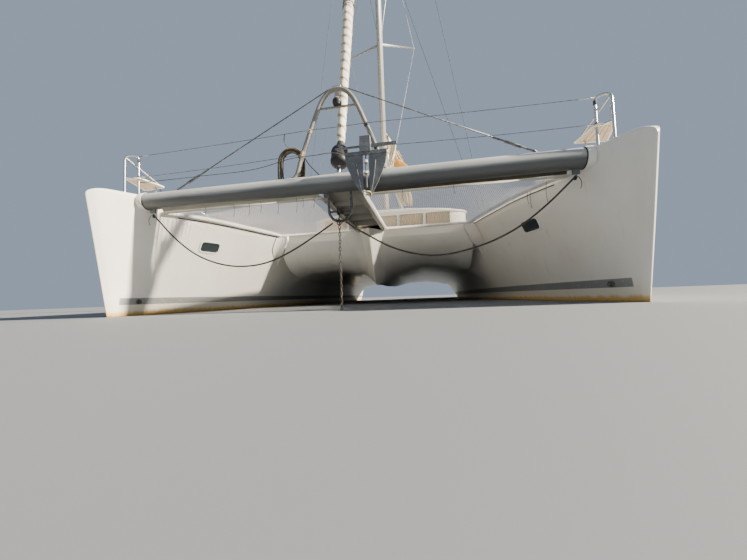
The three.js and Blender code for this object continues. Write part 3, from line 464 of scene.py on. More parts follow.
def hank_path():
    """From the wire down to the bundle, round it again and again, and off to the beam.

    A turn is two half circles joined by straights. Two triangle waves of the turn number move it across the
    bundle and fore and aft, so the turns lie beside each other, and they fan out lower down.
    """
    t = np.linspace(0, HANK_TURNS + 0.17, HANK_TURNS * 44)
    angle = 2 * np.pi * (t % 1) + np.pi / 2
    tri = lambda p: 4 * np.abs((p % 1) - 0.5) - 1
    fan = 1.0 + 0.30 * np.clip(-np.sin(angle), 0, 1)
    reach = (HANK["half"] + HANK["hole"]) / 2 - 0.004 + 0.036 * tri(t / 6.83) * fan
    straight = (HANK["top"] - HANK["bottom"]) / 2 - HANK["half"]
    middle = (HANK["top"] + HANK["bottom"]) / 2
    x = HANK["x"] - reach * np.cos(angle)
    z = middle + reach * np.sin(angle) + straight * np.tanh(np.sin(angle) * 5)
    turns = np.stack([x, HANK["y"] + 0.022 * tri(t / 3.31 + 0.2), z], 1)
    first, last = turns[0], turns[-1]
    start = through([TIE_END, (-0.712, -6.270, 2.194), (-0.742, -6.190, 2.168), first + [-0.030, -0.004, 0.006],
                     first], 16)[:-1]
    way = unit(turns[-1] - turns[-2])
    end = through([last, last + way * 0.07, (-0.435, -6.170, 1.865), (-0.350, -6.200, 1.765),
                   (-0.262, -6.245, 1.664)], 18)[1:]
    return np.concatenate([start, turns, end])


print("bridle lengths", [round(length_of(bridle_path(side)), 3) for side in BRIDLE_ROUTES])
print("hank length", round(length_of(hank_path()), 2))

# %% [markdown]
# ## Shader sums as plain Python
#
# A material is a sum of masks and noises. Written as Python expressions it can be read as a formula, so one
# small class wraps a socket, and every + or * between two of them adds the Math node that does it.

# %% Signals
class Signal:
    """A number that varies over a surface; arithmetic on it adds Math nodes to its material."""

    def __init__(self, paint, socket):
        self.paint, self.socket = paint, socket

    def sum(self, operation, *values, clamp=False):
        settings = {"operation": operation, "use_clamp": clamp}
        return self.paint.node("ShaderNodeMath", settings, dict(enumerate(values)))

    def __add__(self, other):
        return self.sum("ADD", self, other)

    def __sub__(self, other):
        return self.sum("SUBTRACT", self, other)

    def __rsub__(self, other):
        return self.sum("SUBTRACT", other, self)

    def __mul__(self, other):
        return self.sum("MULTIPLY", self, other)

    def __truediv__(self, other):
        return self.sum("DIVIDE", self, other)

    __radd__, __rmul__ = __add__, __mul__

    def wave(self):
        """Sine of the signal, brought from 0 to 1."""
        return self.sum("SINE", self) * 0.5 + 0.5

    def size(self):
        return self.sum("ABSOLUTE", self)

    def high(self, other):
        return self.sum("MAXIMUM", self, other)

    def low(self, other):
        return self.sum("MINIMUM", self, other)

    def cycle(self, period):
        """The signal's remainder after whole periods, from 0 to 1."""
        return self.sum("FRACT", self / period)

    def rise(self, start, stop):
        """0 before start and 1 after stop, with a smooth slope between them; start may be the higher one."""
        settings = {"interpolation_type": "SMOOTHSTEP"}
        return self.paint.node("ShaderNodeMapRange", settings, {0: self, 1: start, 2: stop, 3: 0.0, 4: 1.0})


class Paint:
    """A material under construction: node() adds any node, the rest are the sources and the finish."""

    def __init__(self, name):
        self.material = bpy.data.materials.new(name)
        self.material.use_nodes = True
        self.tree = self.material.node_tree
        self.tree.nodes.clear()

    def node(self, kind, settings=None, inputs=None, out=0):
        made = self.tree.nodes.new(kind)
        for key, value in (settings or {}).items():
            setattr(made, key, value)
        for key, value in (inputs or {}).items():
            if isinstance(value, Signal):
                self.tree.links.new(value.socket, made.inputs[key])
            elif isinstance(value, tuple) and len(value) == 3 and made.inputs[key].type == "RGBA":
                made.inputs[key].default_value = (*value, 1.0)
            else:
                made.inputs[key].default_value = value
        return Signal(self, made.outputs[out]) if made.outputs else None

    def place(self):
        """x, y and z in metres in the boat's frame."""
        return self.node("ShaderNodeTexCoord", out="Object")

    def split(self, vector):
        return [self.node("ShaderNodeSeparateXYZ", None, {0: vector}, axis) for axis in range(3)]

    def strip(self):
        """The piece's own texture coordinates: metres across and metres along."""
        return self.node("ShaderNodeUVMap", {"uv_map": "UVMap"})

    def stretched(self, vector, scale):
        return self.node("ShaderNodeMapping", None, {"Vector": vector, "Scale": scale})

    def noise(self, vector, scale, detail=3.0, rough=0.55):
        inputs = {"Vector": vector, "Scale": scale, "Detail": detail, "Roughness": rough}
        return self.node("ShaderNodeTexNoise", None, inputs, "Fac")

    def cells(self, vector, scale):
        return self.node("ShaderNodeTexVoronoi", {"feature": "F1"}, {"Vector": vector, "Scale": scale})

    def mix(self, start, stop, share):
        """Colour from start to stop by share."""
        return self.node("ShaderNodeMix", {"data_type": "RGBA"}, {0: share, 6: start, 7: stop}, 2)

    def bump(self, height, distance, strength):
        return self.node("ShaderNodeBump", None, {"Height": height, "Distance": distance, "Strength": strength})

    def finish(self, colour, roughness, normal=None, alpha=None, **fixed):
        """The shader itself; varying signals go to its baked sockets and plain numbers to all the others."""
        inputs = {"Base Color": colour, "Roughness": roughness}
        inputs.update({name.replace("_", " "): value for name, value in fixed.items()})
        if normal:
            inputs["Normal"] = normal
        if alpha is not None:
            inputs["Alpha"] = alpha
        self.node("ShaderNodeOutputMaterial", None,
                  {"Surface": self.node("ShaderNodeBsdfPrincipled", None, inputs)})
        print("painted", self.material.name, len(self.tree.nodes), "nodes")
        return self.material


# %% [markdown]
# ## Gelcoat
#
# The hulls and decks are white gelcoat over glass fibre. Out of the mould it is glossy, then sun and salt
# make it cream and uneven. Near the water it is yellowed, runs of grime hang from the deck edge, and a grey
# stripe is painted a hand above the water, starting just behind each stem. All of it is a formula of the
# place on the boat, so the same finish serves every moulded piece.

# %% Gelcoat finish
STRIPE_LOW, STRIPE_HIGH, STRIPE_START, BLUR = 0.150, 0.240, -6.425, 0.003
HULL_WHITE, HULL_CREAM = (0.83, 0.80, 0.73), (0.74, 0.69, 0.58)
WEED_YELLOW, WEED_BROWN, STRIPE_GREY = (0.62, 0.36, 0.06), (0.17, 0.10, 0.03), (0.20, 0.205, 0.20)
ANTIFOUL, RUN_GREY, TIDE_CREAM = (0.05, 0.07, 0.12), (0.50, 0.46, 0.37), (0.72, 0.62, 0.40)


def gelcoat(name, white=HULL_WHITE, cream=HULL_CREAM, water=True):
    """White and cream by a broad noise, runs by a noise stretched down, and three bands by height."""
    paint = Paint(name)
    place = paint.place()
    _, y, z = paint.split(place)
    broad = paint.noise(place, 0.9, 4.0)
    runs = paint.noise(paint.stretched(place, (7.0, 7.0, 0.45)), 1.6, 4.0, 0.6)
    specks = paint.noise(place, 60.0, 2.0)
    colour = paint.mix(white, cream, broad.rise(0.35, 0.75) * 0.75)
    colour = paint.mix(colour, RUN_GREY, runs.rise(0.58, 0.80) * 0.30)
    rough = 0.22 + broad * 0.16 + specks.rise(0.5, 0.8) * 0.08
    if water:
        ragged = z + (runs - 0.5) * 0.10 + (broad - 0.5) * 0.10
        colour = paint.mix(colour, TIDE_CREAM, ragged.rise(0.30, 0.05) * 0.45)
        colour = paint.mix(colour, WEED_YELLOW, (z + (runs - 0.5) * 0.07).rise(0.085, 0.030) * 0.90)
        colour = paint.mix(colour, WEED_BROWN, (z + (specks - 0.5) * 0.04).rise(0.030, -0.005) * 0.85)
        stripe = (z.rise(STRIPE_LOW - BLUR, STRIPE_LOW + BLUR) * z.rise(STRIPE_HIGH + BLUR, STRIPE_HIGH - BLUR)
                  * y.rise(STRIPE_START - BLUR, STRIPE_START + BLUR))
        worn = 1 - specks.rise(0.62, 0.7) * 0.4
        colour = paint.mix(colour, STRIPE_GREY, stripe * worn * 0.92)
        colour = paint.mix(colour, ANTIFOUL, z.rise(-0.02, -0.05))
        rough = rough + ragged.rise(0.25, 0.0) * 0.3 + z.rise(0.0, -0.05) * 0.3
    weave = paint.noise(place, 260.0, 2.0)
    normal = paint.bump(broad * 0.7 + weave * 0.05, 0.012, 0.35)
    return paint.finish(colour, rough.low(0.9), normal, IOR=1.48, Coat_Weight=0.25, Coat_Roughness=0.12)


HULL_GELCOAT = gelcoat("hull_gelcoat")
DECK_GELCOAT = gelcoat("deck_gelcoat", (0.78, 0.76, 0.70), (0.66, 0.61, 0.50), water=False)

# %% [markdown]
# ## Metals
#
# Mast, beam and arch are anodised alloy, dull and streaked by salt. Rails and wires are polished stainless.
# The anchor and its chain are hot-dip galvanised: a mottle of grey crystals, darker where the zinc has worn.

# %% Metal finishes
def alloy(name, tone, pale, metallic, grime=None):
    """Tone to pale by a noise drawn out along the spar's length, with pits of salt where a fine noise peaks.

    grime is a pair of heights between which the underside turns nearly black: painted shade.
    """
    paint = Paint(name)
    place = paint.place()
    streak = paint.noise(paint.stretched(place, (1.2, 9.0, 9.0)), 1.5, 4.0, 0.6)
    broad = paint.noise(place, 1.6, 3.0)
    salt = paint.noise(place, 90.0, 2.0).rise(0.60, 0.72)
    colour = paint.mix(tone, pale, (streak * 0.5 + broad * 0.5).rise(0.3, 0.75))
    colour = paint.mix(colour, pale, salt * broad * 0.5)
    # painted shade: below these heights the alloy is darkened as if in shadow
    if grime:
        height = paint.split(place)[2] + (streak - 0.5) * 0.03
        colour = paint.mix(colour, (0.055, 0.062, 0.065), height.rise(*grime) * 0.88)
    rough = 0.36 + streak * 0.12 + salt * 0.15
    normal = paint.bump(streak * 0.3 + salt * 0.2, 0.0008, 0.25)
    return paint.finish(colour, rough, normal, Metallic=metallic)


def stainless():
    """Bright steel whose roughness follows drawn scratches and dried salt, with a little tea staining."""
    paint = Paint("polished_stainless")
    place = paint.place()
    drawn = paint.noise(paint.stretched(place, (40.0, 40.0, 40.0)), 4.0, 3.0)
    stain = paint.noise(place, 5.0, 4.0).rise(0.62, 0.80)
    colour = paint.mix((0.58, 0.58, 0.57), (0.42, 0.30, 0.18), stain * 0.35)
    rough = 0.20 + drawn * 0.14 + stain * 0.25
    return paint.finish(colour, rough, paint.bump(drawn, 0.0006, 0.25), Metallic=1.0)


def galvanised():
    """Grey crystals from a cell pattern, brown rust where a noise is high, and a coarse pitted surface."""
    paint = Paint("galvanised")
    place = paint.place()
    crystal = paint.cells(place, 110.0)
    patch = paint.noise(place, 11.0, 4.0, 0.65)
    colour = paint.mix((0.105, 0.112, 0.120), (0.165, 0.172, 0.180), crystal.rise(0.1, 0.7))
    colour = paint.mix(colour, (0.30, 0.31, 0.31), patch.rise(0.50, 0.72) * 0.7)
    colour = paint.mix(colour, (0.10, 0.065, 0.04), patch.rise(0.38, 0.28) * 0.6)
    rough = 0.55 + patch * 0.3
    normal = paint.bump(patch + crystal * 0.1, 0.002, 0.35)
    return paint.finish(colour, rough.low(1.0), normal, Metallic=0.35)


def plain_metal(name, tone, pale, rough, metallic=1.0):
    """Tone to pale by a fine noise that also moves the roughness."""
    paint = Paint(name)
    mottle = paint.noise(paint.place(), 35.0, 3.0)
    colour = paint.mix(tone, pale, mottle.rise(0.35, 0.7))
    return paint.finish(colour, rough + mottle * 0.2, paint.bump(mottle, 0.001, 0.3), Metallic=metallic)


SPAR_ALLOY = alloy("spar_alloy", (0.38, 0.37, 0.33), (0.48, 0.47, 0.43), 0.30)
# the beam's underside is painted nearly black as shade
BEAM_ALLOY = alloy("beam_alloy", (0.385, 0.385, 0.365), (0.49, 0.49, 0.465), 0.10, grime=(1.544, 1.490))
CHANNEL_ALLOY = alloy("channel_alloy", (0.36, 0.345, 0.30), (0.48, 0.46, 0.41), 0.12)
ARCH_ALLOY = alloy("arch_alloy", (0.22, 0.21, 0.18), (0.31, 0.29, 0.25), 0.30)
STAINLESS, GALVANISED = stainless(), galvanised()
BRONZE = plain_metal("propeller_bronze", (0.40, 0.27, 0.11), (0.55, 0.42, 0.20), 0.25)
DARK_WIRE = plain_metal("weathered_wire", (0.10, 0.10, 0.10), (0.24, 0.24, 0.23), 0.35, 0.8)
CHAIN_STEEL = plain_metal("chain_steel", (0.026, 0.022, 0.017), (0.17, 0.145, 0.105), 0.5, 0.5)
DARK_STEEL = plain_metal("dark_steel", (0.07, 0.07, 0.07), (0.20, 0.20, 0.19), 0.35, 0.9)

# %% [markdown]
# ## Moulded plastic, rubber and glass
#
# Plastic is the same right through, so it only bleaches. The panes are tinted acrylic, dusty in patches.

# %% Plastic and glass finishes
def plastic(name, tone, pale, rough=0.45):
    """Tone to pale by a broad noise, as sun bleaches plastic, over a fine moulded grain."""
    paint = Paint(name)
    place = paint.place()
    bleach = paint.noise(place, 6.0, 3.0)
    grit = paint.noise(place, 140.0, 2.0)
    colour = paint.mix(tone, pale, bleach.rise(0.4, 0.75))
    return paint.finish(colour, rough + bleach * 0.15, paint.bump(grit, 0.0008, 0.35))


BLACK_PLASTIC = plastic("black_plastic", (0.012, 0.012, 0.013), (0.045, 0.045, 0.048))
WHITE_PLASTIC = plastic("white_plastic", (0.72, 0.71, 0.67), (0.80, 0.79, 0.76), 0.35)
# the pink-grey is a painted reflection that stands for the steel bracket's look
PINK_GREY = plastic("faded_bracket", (0.42, 0.31, 0.28), (0.52, 0.42, 0.38))


def tinted(name, tint, share, rough=0.06):
    """Dark tinted pane: mostly clear by its alpha, with dust that makes it dull and less clear in patches."""
    paint = Paint(name)
    dust = paint.noise(paint.place(), 3.0, 4.0).rise(0.45, 0.85)
    colour = paint.mix(tint, (0.35, 0.34, 0.31), dust * 0.35)
    alpha = share + dust * 0.12
    return paint.finish(colour, rough + dust * 0.25, None, alpha, IOR=1.5, Coat_Weight=0.6, Coat_Roughness=0.03)


WINDOW_GLASS = tinted("tinted_glass", (0.030, 0.045, 0.050), 0.72)
HATCH_GLASS = tinted("hatch_acrylic", (0.020, 0.030, 0.032), 0.90, 0.10)

# %% [markdown]
# ## Cloth, canvas and net
#
# Cloth reads as cloth through its weave: two sets of ridges crossing at right angles, fine enough to see only
# close by. The pattern follows the piece's own texture coordinates, which are in metres, so the thread is the
# same size on every piece.

# %% Cloth finishes
def cloth(name, tone, pale, thread=0.0022, seams=None):
    """Ridges across times ridges along, dirt by broad noise, and a dark stitched line every seams metres."""
    paint = Paint(name)
    u, v, _ = paint.split(paint.strip())
    place = paint.place()
    turn = 2 * math.pi / thread
    weave = (u * turn).wave() * 0.5 + (v * turn).wave() * 0.5
    soil = paint.noise(place, 2.4, 5.0, 0.6)
    fold = paint.noise(paint.stretched(place, (3.0, 3.0, 1.0)), 3.0, 3.0)
    colour = paint.mix(tone, pale, (soil * 0.7 + weave * 0.3).rise(0.3, 0.75))
    height = weave * 0.25 + fold * 1.6
    if seams:
        seam = (v.cycle(seams) - 0.5).size().rise(0.485, 0.497)
        colour = paint.mix(colour, tuple(c * 0.55 for c in tone), seam * 0.8)
        height = height - seam * 0.8
    normal = paint.bump(height, 0.004, 0.45)
    return paint.finish(colour, 0.85, normal, Sheen_Weight=0.25, Sheen_Roughness=0.5)


BAG_CANVAS = cloth("bag_canvas", (0.60, 0.49, 0.30), (0.74, 0.64, 0.46), 0.003, seams=0.9)
SCREEN_MESH = cloth("screen_mesh", (0.40, 0.30, 0.17), (0.55, 0.43, 0.27), 0.003)
CUSHION_CLOTH = cloth("cushion_cloth", (0.50, 0.47, 0.41), (0.64, 0.61, 0.55), 0.0028, seams=0.55)
WEBBING_WHITE = cloth("white_webbing", (0.62, 0.60, 0.54), (0.76, 0.74, 0.69), 0.0016)
WEBBING_YELLOW = cloth("yellow_line", (0.55, 0.44, 0.14), (0.68, 0.58, 0.26), 0.0016)
TAN_TAPE = cloth("tan_tape", (0.36, 0.26, 0.15), (0.50, 0.38, 0.24), 0.004)
DARK_TAPE = cloth("dark_tape", (0.030, 0.028, 0.026), (0.08, 0.075, 0.07), 0.004)
SUNLIT = cloth("sunlit_cloth", (0.66, 0.53, 0.33), (0.86, 0.78, 0.60), 0.0025)
# painted light: the orange of sun shining through a fold, painted into the cloth's colour
PAINTED_GLOW = cloth("glowing_fold", (0.78, 0.33, 0.045), (0.88, 0.46, 0.10), 0.0025)
BROWN_HEM = cloth("brown_hem", (0.10, 0.065, 0.035), (0.20, 0.14, 0.08), 0.003)
APRON_SHADE_AND_LIGHT = {  # the same canvas on both sides: the port strip's dark brown is painted shade, the starboard strip's cream is painted light
    "port": cloth("apron_canvas", (0.045, 0.040, 0.028), (0.10, 0.088, 0.060), 0.003),
    "starboard": cloth("cream_canvas", (0.40, 0.375, 0.29), (0.54, 0.51, 0.41), 0.003)}
MESH_PITCH, MESH_CORD = 0.026, 0.0060


def netting():
    """Woven net: opaque within half a cord of a line every pitch metres across, and by 1.6 pitches along."""
    paint = Paint("net_white")
    place = paint.place()
    x, y, _ = paint.split(place)
    wobble = (paint.noise(place, 4.0, 2.0) - 0.5) * 0.016
    along = ((x + wobble).cycle(MESH_PITCH) - 0.5).size()
    across = ((y + wobble).cycle(MESH_PITCH * 1.6) - 0.5).size()
    edge = 0.5 - 0.5 * MESH_CORD / MESH_PITCH
    cover = along.rise(edge - 0.03, edge + 0.03).high(across.rise(0.42, 0.45))
    soil = paint.noise(place, 1.3, 4.0)
    colour = paint.mix((0.95, 0.92, 0.90), (0.66, 0.58, 0.52), soil.rise(0.5, 0.8) * 0.5)
    return paint.finish(colour, 0.8, paint.bump(cover, 0.002, 0.3), cover)


NET_WHITE = netting()


def rope(name, tone, pale, lay):
    """Braid: strands wind both ways round the rope, a turn every lay metres, and cross in diamonds."""
    paint = Paint(name)
    u, v, _ = paint.split(paint.strip())
    turn = 2 * math.pi / lay
    braid = ((v + u) * turn).wave() * ((v - u) * turn).wave()
    wear = paint.noise(paint.place(), 9.0, 4.0)
    colour = paint.mix(tone, pale, (braid * 0.6 + wear * 0.5).rise(0.25, 0.8))
    return paint.finish(colour, 0.85, paint.bump(braid, 0.002, 0.7), Sheen_Weight=0.2)


ROPE_OLIVE = rope("olive_rope", (0.030, 0.026, 0.018), (0.13, 0.11, 0.07), 0.022)
ROPE_BROWN = rope("hank_rope", (0.075, 0.058, 0.030), (0.26, 0.20, 0.10), 0.012)
ROPE_WHITE = rope("white_rope", (0.46, 0.45, 0.42), (0.70, 0.69, 0.66), 0.010)
ROPE_DARK = rope("dark_line", (0.020, 0.020, 0.022), (0.07, 0.07, 0.07), 0.010)

# %% [markdown]
# ## Wood
#
# Varnished wood shows where one plank ends and the next begins, and each plank has a shade of its own.

# %% Wood finish
def wood(name, tone, pale, plank, along_y=False):
    """Planks every plank metres, each lighter or darker, with grain as rings of a lengthwise noise."""
    paint = Paint(name)
    place = paint.place()
    x, y, _ = paint.split(place)
    across = x if along_y else y
    stretch = (24.0, 1.6, 24.0) if along_y else (1.6, 24.0, 24.0)
    figure = paint.noise(paint.stretched(place, stretch), 1.4, 5.0, 0.6)
    rings = (figure * 60.0).wave()
    seam = (across.cycle(plank) - 0.5).size().rise(0.475, 0.492)
    shade = paint.noise(paint.stretched(place, (1 / plank, 1 / plank, 0.2)), 0.6, 1.0)
    colour = paint.mix(tone, pale, (rings * 0.45 + shade * 0.6).rise(0.2, 0.9))
    colour = paint.mix(colour, (0.05, 0.035, 0.02), seam * 0.8)
    normal = paint.bump(rings * 0.3 - seam, 0.0012, 0.4)
    return paint.finish(colour, 0.42 + figure * 0.2, normal, Coat_Weight=0.2, Coat_Roughness=0.2)


JOINERY = wood("joinery", (0.22, 0.12, 0.06), (0.42, 0.27, 0.15), 0.16, True)
SEAT_SLAB = wood("seat_slab", (0.42, 0.31, 0.20), (0.60, 0.48, 0.34), 0.055)

# %% [markdown]
# ## Water level and light
#
# The floor stands where the water does, so the boat floats in it at the right depth. Its light is that of the
# picture made plain: a wide soft sun low on the port side, and an even pale sky that fills the shade.

# %% Floor and lights
floor_paint = Paint("pale_floor")
floor_paint.finish((0.165, 0.172, 0.180), 0.75)
floor = plain("floor", [(120 * x, 120 * y, 0) for x, y in ((-1, -1), (1, -1), (1, 1), (-1, 1))], [(0, 1, 2, 3)])
floor.data.materials.append(floor_paint.material)
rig.stage(floor)

world = bpy.data.worlds.new("soft_sky")
world.use_nodes = True
for socket, value in (("Color", (0.60, 0.73, 0.93, 1)), ("Strength", 0.50)):
    world.node_tree.nodes["Background"].inputs[socket].default_value = value
bpy.context.scene.world = world


def lamp(name, kind, energy, size, place, target, colour):
    """A lamp at place that faces target; size is a sun's angle in degrees or an area lamp's width."""
    data = bpy.data.lights.new(name, kind)
    data.energy, data.color = energy, colour
    if kind == "SUN":
        data.angle = math.radians(size)
    else:
        data.shape, data.size = "DISK", size
    way = unit(np.subtract(place, target, dtype=float))
    side = unit(np.cross((0, 0, 1), way))
    aimed(shown(name, data), side, np.cross(way, side), way, place)


lamp("port_sun", "SUN", 20.0, 2.0, (20, -3.6, 12.0), (0, -3, 1), (1.0, 0.92, 0.78))
lamp("bow_fill", "AREA", 70.0, 8.0, (3, -19, 7), (0, -5, 1.0), (0.93, 0.96, 1.0))
print("lit by", [o.name for o in bpy.context.scene.objects if o.type == "LIGHT"])

# %% [markdown]
# ## The ropes themselves
#
# A braided rope is a plain tube whose braid is in its material. The bridles end in a sewn eye on the beam's
# lug and in a hook on the chain.

# %% Bridles and hank
ropes = [(f"bridle_rope_{side}", bridle_path(side), BRIDLE_RADIUS, 12, ROPE_OLIVE, f"bridle_{side}")
         for side in BRIDLE_ROUTES] + [("spare_line_hank", hank_path(), HANK_RADIUS, 7, ROPE_BROWN, "rope_hank")]
for name, path, radius, sides, braid, node in ropes:
    made = piece(name, [swept(path, radius, sides)], braid, "rope", replaces=[node])
    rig.cord(made, exit=path[0], length=round(length_of(path), 3), diameter=2 * radius, far_end="object",
            stiffness="limp", lay="hanging", path=path)

# %% [markdown]
# ## The hulls
#
# A hull mould is faired: its lines run through the stations without a flat between them. The model's hull has
# straight stretches from station to station, so a finer skin stands for it here, worked out from the same
# stations. Each line of the table is one cut across the hull: its place along the boat, the depth of the
# keel, the half width at the water, the width to the inner and to the outer gunwale, the height of the outer
# gunwale, and two numbers for how the inner side flares: the height where it is full, and how soon it fills.

# %% Hull stations
HULL_X = 3.050
STATIONS = np.array([
    # y, keel, water, inner, outer, outer_top, full, slow
    (-6.51, -0.120, 0.022, 0.034, 0.030, 1.605, 1.62, 1.20),
    (-6.43, -0.220, 0.052, 0.105, 0.078, 1.618, 1.62, 1.20),
    (-6.30, -0.320, 0.092, 0.205, 0.150, 1.622, 1.62, 1.20),
    (-6.07, -0.430, 0.150, 0.372, 0.285, 1.620, 1.60, 1.15),
    (-5.86, -0.500, 0.200, 0.545, 0.390, 1.600, 1.44, 1.05),
    (-5.40, -0.600, 0.300, 0.830, 0.540, 1.550, 1.43, 1.05),
    (-4.90, -0.650, 0.390, 1.020, 0.630, 1.500, 1.43, 1.05),
    (-4.10, -0.690, 0.520, 1.200, 0.730, 1.460, 1.32, 1.00),
    (-3.60, -0.705, 0.580, 1.200, 0.760, 1.440, 1.00, 0.95),
    (-3.00, -0.720, 0.630, 1.200, 0.790, 1.420, 0.64, 0.55),
    (-1.50, -0.740, 0.700, 1.200, 0.800, 1.420, 0.64, 0.62),
    (1.20, -0.720, 0.740, 1.200, 0.800, 1.420, 0.64, 0.62),
    (3.50, -0.600, 0.720, 1.200, 0.780, 1.420, 0.64, 0.62),
    (4.90, -0.420, 0.660, 1.200, 0.740, 1.420, 0.66, 0.70),
    (5.25, -0.360, 0.640, 0.860, 0.720, 1.420, 1.20, 1.50),
    (6.00, -0.210, 0.580, 0.780, 0.670, 1.420, 1.20, 1.50),
    (6.80, -0.030, 0.480, 0.700, 0.600, 1.420, 1.20, 1.50),
])
COLUMNS = dict(zip(("keel", "water", "inner", "outer", "outer_top", "full", "slow"), range(1, 8)))
SIDES = (("port", 1), ("starboard", -1))
STEM, STERN, RAKE, RAKE_START, RAKE_LENGTH = -6.522, 6.800, 0.182, -6.51, 1.5
NOSE_LENGTH, TOP_NOSE_LENGTH, TOP_DROP, OUTER_FULLNESS = 0.06, 0.17, 0.115, 2.8


def faired(name, y):
    """A station value at any place along the boat: a Hermite cubic between stations, flat beyond the ends."""
    knots, values = STATIONS[:, 0], STATIONS[:, COLUMNS[name]]
    slope = np.gradient(values, knots)
    y = np.clip(y, knots[0], knots[-1])
    k = np.clip(np.searchsorted(knots, y, side="right") - 1, 0, len(knots) - 2)
    h = knots[k + 1] - knots[k]
    steep = (values[k + 1] - values[k]) / h
    a, b = [np.where(s * steep > 0, np.sign(steep) * np.minimum(np.abs(s), 3 * np.abs(steep)), 0)
            for s in (slope[k], slope[k + 1])]
    return hermite((y - knots[k]) / h, h, values[k], values[k + 1], a, b)


def step_between(value, start, stop):
    """0 before start and 1 after stop, along 3t squared less 2t cubed between them."""
    t = np.clip((value - start) / (stop - start), 0, 1)
    return t * t * (3 - 2 * t)


def quarter(value, start, length):
    """0 at start and 1 after length, along a quarter circle, as a rounded nose grows."""
    t = np.clip((value - start) / length, 0, 1)
    return np.sqrt(t * (2 - t))


def top_drop(y):
    """How much lower both gunwales are where they round down into the stem."""
    return TOP_DROP * (1 - quarter(y, STEM, TOP_NOSE_LENGTH))


def inner_top(y):
    """Height of the inner gunwale: the raised bow drops to the net's edge just behind the crossbeam."""
    return 1.425 + 0.195 * (1 - step_between(y, -6.10, -5.86)) - top_drop(y)


def flared(y, z, edge, full, slow):
    """Half width at height z: from the water's to the gunwale's, which it reaches slowly at the height full."""
    water = faired("water", y)
    t = np.clip(z / faired(full, y), 0, 1)
    return (water + (faired(edge, y) - water) * (1 - (1 - t) ** slow)) * quarter(y, STEM, NOSE_LENGTH)


def inner_u(y, z):
    """How far the inner side stands from the hull's centreline at height z above water."""
    return flared(y, z, "inner", "full", faired("slow", y))


def outer_u(y, z):
    """The same for the outer side: nearly full by a third of its height, then almost upright."""
    return flared(y, z, "outer", "outer_top", OUTER_FULLNESS)


def raked(y, z):
    """Place along the boat of a station's point at height z, leaning forward with the stem."""
    return y - RAKE * np.clip(1 - (y - RAKE_START) / RAKE_LENGTH, 0, 1) * z


# %% Hull skin
def hull_skin(side):
    """Rings of points round the hull, one for each place along it.

    Each ring runs from the keel up the outer bilge, a quarter of an ellipse, up the outer side, over a rounded
    gunwale, across the deck, over the inner gunwale and down the inner side and bilge to the keel again.
    """
    y = np.concatenate([STEM + 0.0005 + 0.09 * np.linspace(0, 1, 10) ** 2, np.linspace(-6.43, -5.2, 40),
                        np.linspace(-5.15, 4.8, 90), np.linspace(4.9, STERN, 24)])[:, None]
    keel, water = faired("keel", y), faired("water", y) * quarter(y, STEM, NOSE_LENGTH)
    top_out = faired("outer_top", y) - top_drop(y)
    top_in = inner_top(y)
    edge = np.minimum(0.045, 0.45 * outer_u(y, top_out) + 0.002)
    sink = np.sin(np.linspace(0, np.pi / 2, 12))[None, ::-1]
    low_z, low_u = keel * sink, water * np.sqrt(1 - sink ** 2)
    rise = np.linspace(0, 1, 16)[None, 1:]
    out_z = (top_out - edge) * rise
    round_off = np.linspace(0, np.pi / 2, 6)[None, 1:]
    out_u = outer_u(y, out_z)
    gun_u = outer_u(y, top_out - edge) - edge * (1 - np.cos(round_off))
    gun_z = top_out - edge * (1 - np.sin(round_off))
    in_z = (top_in - edge) * rise[:, ::-1]
    in_u = inner_u(y, in_z)
    lip_u = inner_u(y, top_in - edge) - edge * (1 - np.cos(round_off[:, ::-1]))
    lip_z = top_in - edge * (1 - np.sin(round_off[:, ::-1]))
    share = np.linspace(0, 1, 7)[None, 1:-1]
    deck_u = gun_u[:, -1:] + (-lip_u[:, :1] - gun_u[:, -1:]) * share
    deck_z = gun_z[:, -1:] + (lip_z[:, :1] - gun_z[:, -1:]) * share
    u = np.hstack([low_u, out_u, gun_u, deck_u, -lip_u, -in_u, -low_u[:, ::-1]])
    z = np.hstack([low_z, out_z, gun_z, deck_z, lip_z, in_z, low_z[:, ::-1]])
    return facing(np.stack([side * (HULL_X + u), raked(y + 0 * z, z), z], -1), -side)


def carved(thing, boxes):
    """Cuts boxes out of a piece with an exact boolean, and keeps the result as its plain mesh."""
    for number, (low, high) in enumerate(boxes):
        cutter = plain("cutter", *block(low, high)[:2])
        cut = thing.modifiers.new(f"cut_{number}", "BOOLEAN")
        cut.operation, cut.object, cut.solver = "DIFFERENCE", cutter, "EXACT"
        bpy.context.view_layer.update()
        result = bpy.data.meshes.new_from_object(thing.evaluated_get(bpy.context.evaluated_depsgraph_get()))
        thing.modifiers.clear()
        thing.data = result
        bpy.data.objects.remove(cutter)
    thing.data.polygons.foreach_set("use_smooth", [True] * len(thing.data.polygons))
    thing.data.set_sharp_from_angle(angle=math.radians(40))
    print("carved", thing.name, len(thing.data.polygons), "faces")


STERN_STEPS = [(5.350, 1.080, 0.480), (5.700, 0.720, 0.460), (6.050, 0.360, 0.430)]  # y, height, half width
STEPS_X = HULL_X - 0.040
for name, side in SIDES:
    hull = piece(f"hull_skin_{name}", [grid(hull_skin(side))], HULL_GELCOAT, "gelcoat", replaces=[f"hull_{name}"])
    x = side * STEPS_X
    carved(hull, [((x - half, y, z), (x + half, STERN + 0.3, 2.0)) for y, z, half in STERN_STEPS])

# %% [markdown]
# ## The bridgedeck
#
# The two hulls are joined by a moulding like an arched bridge. Its front wall curves under in a quarter of an
# ellipse into the roofs of two tunnels, with a deep nacelle between them whose nose is a small bow.

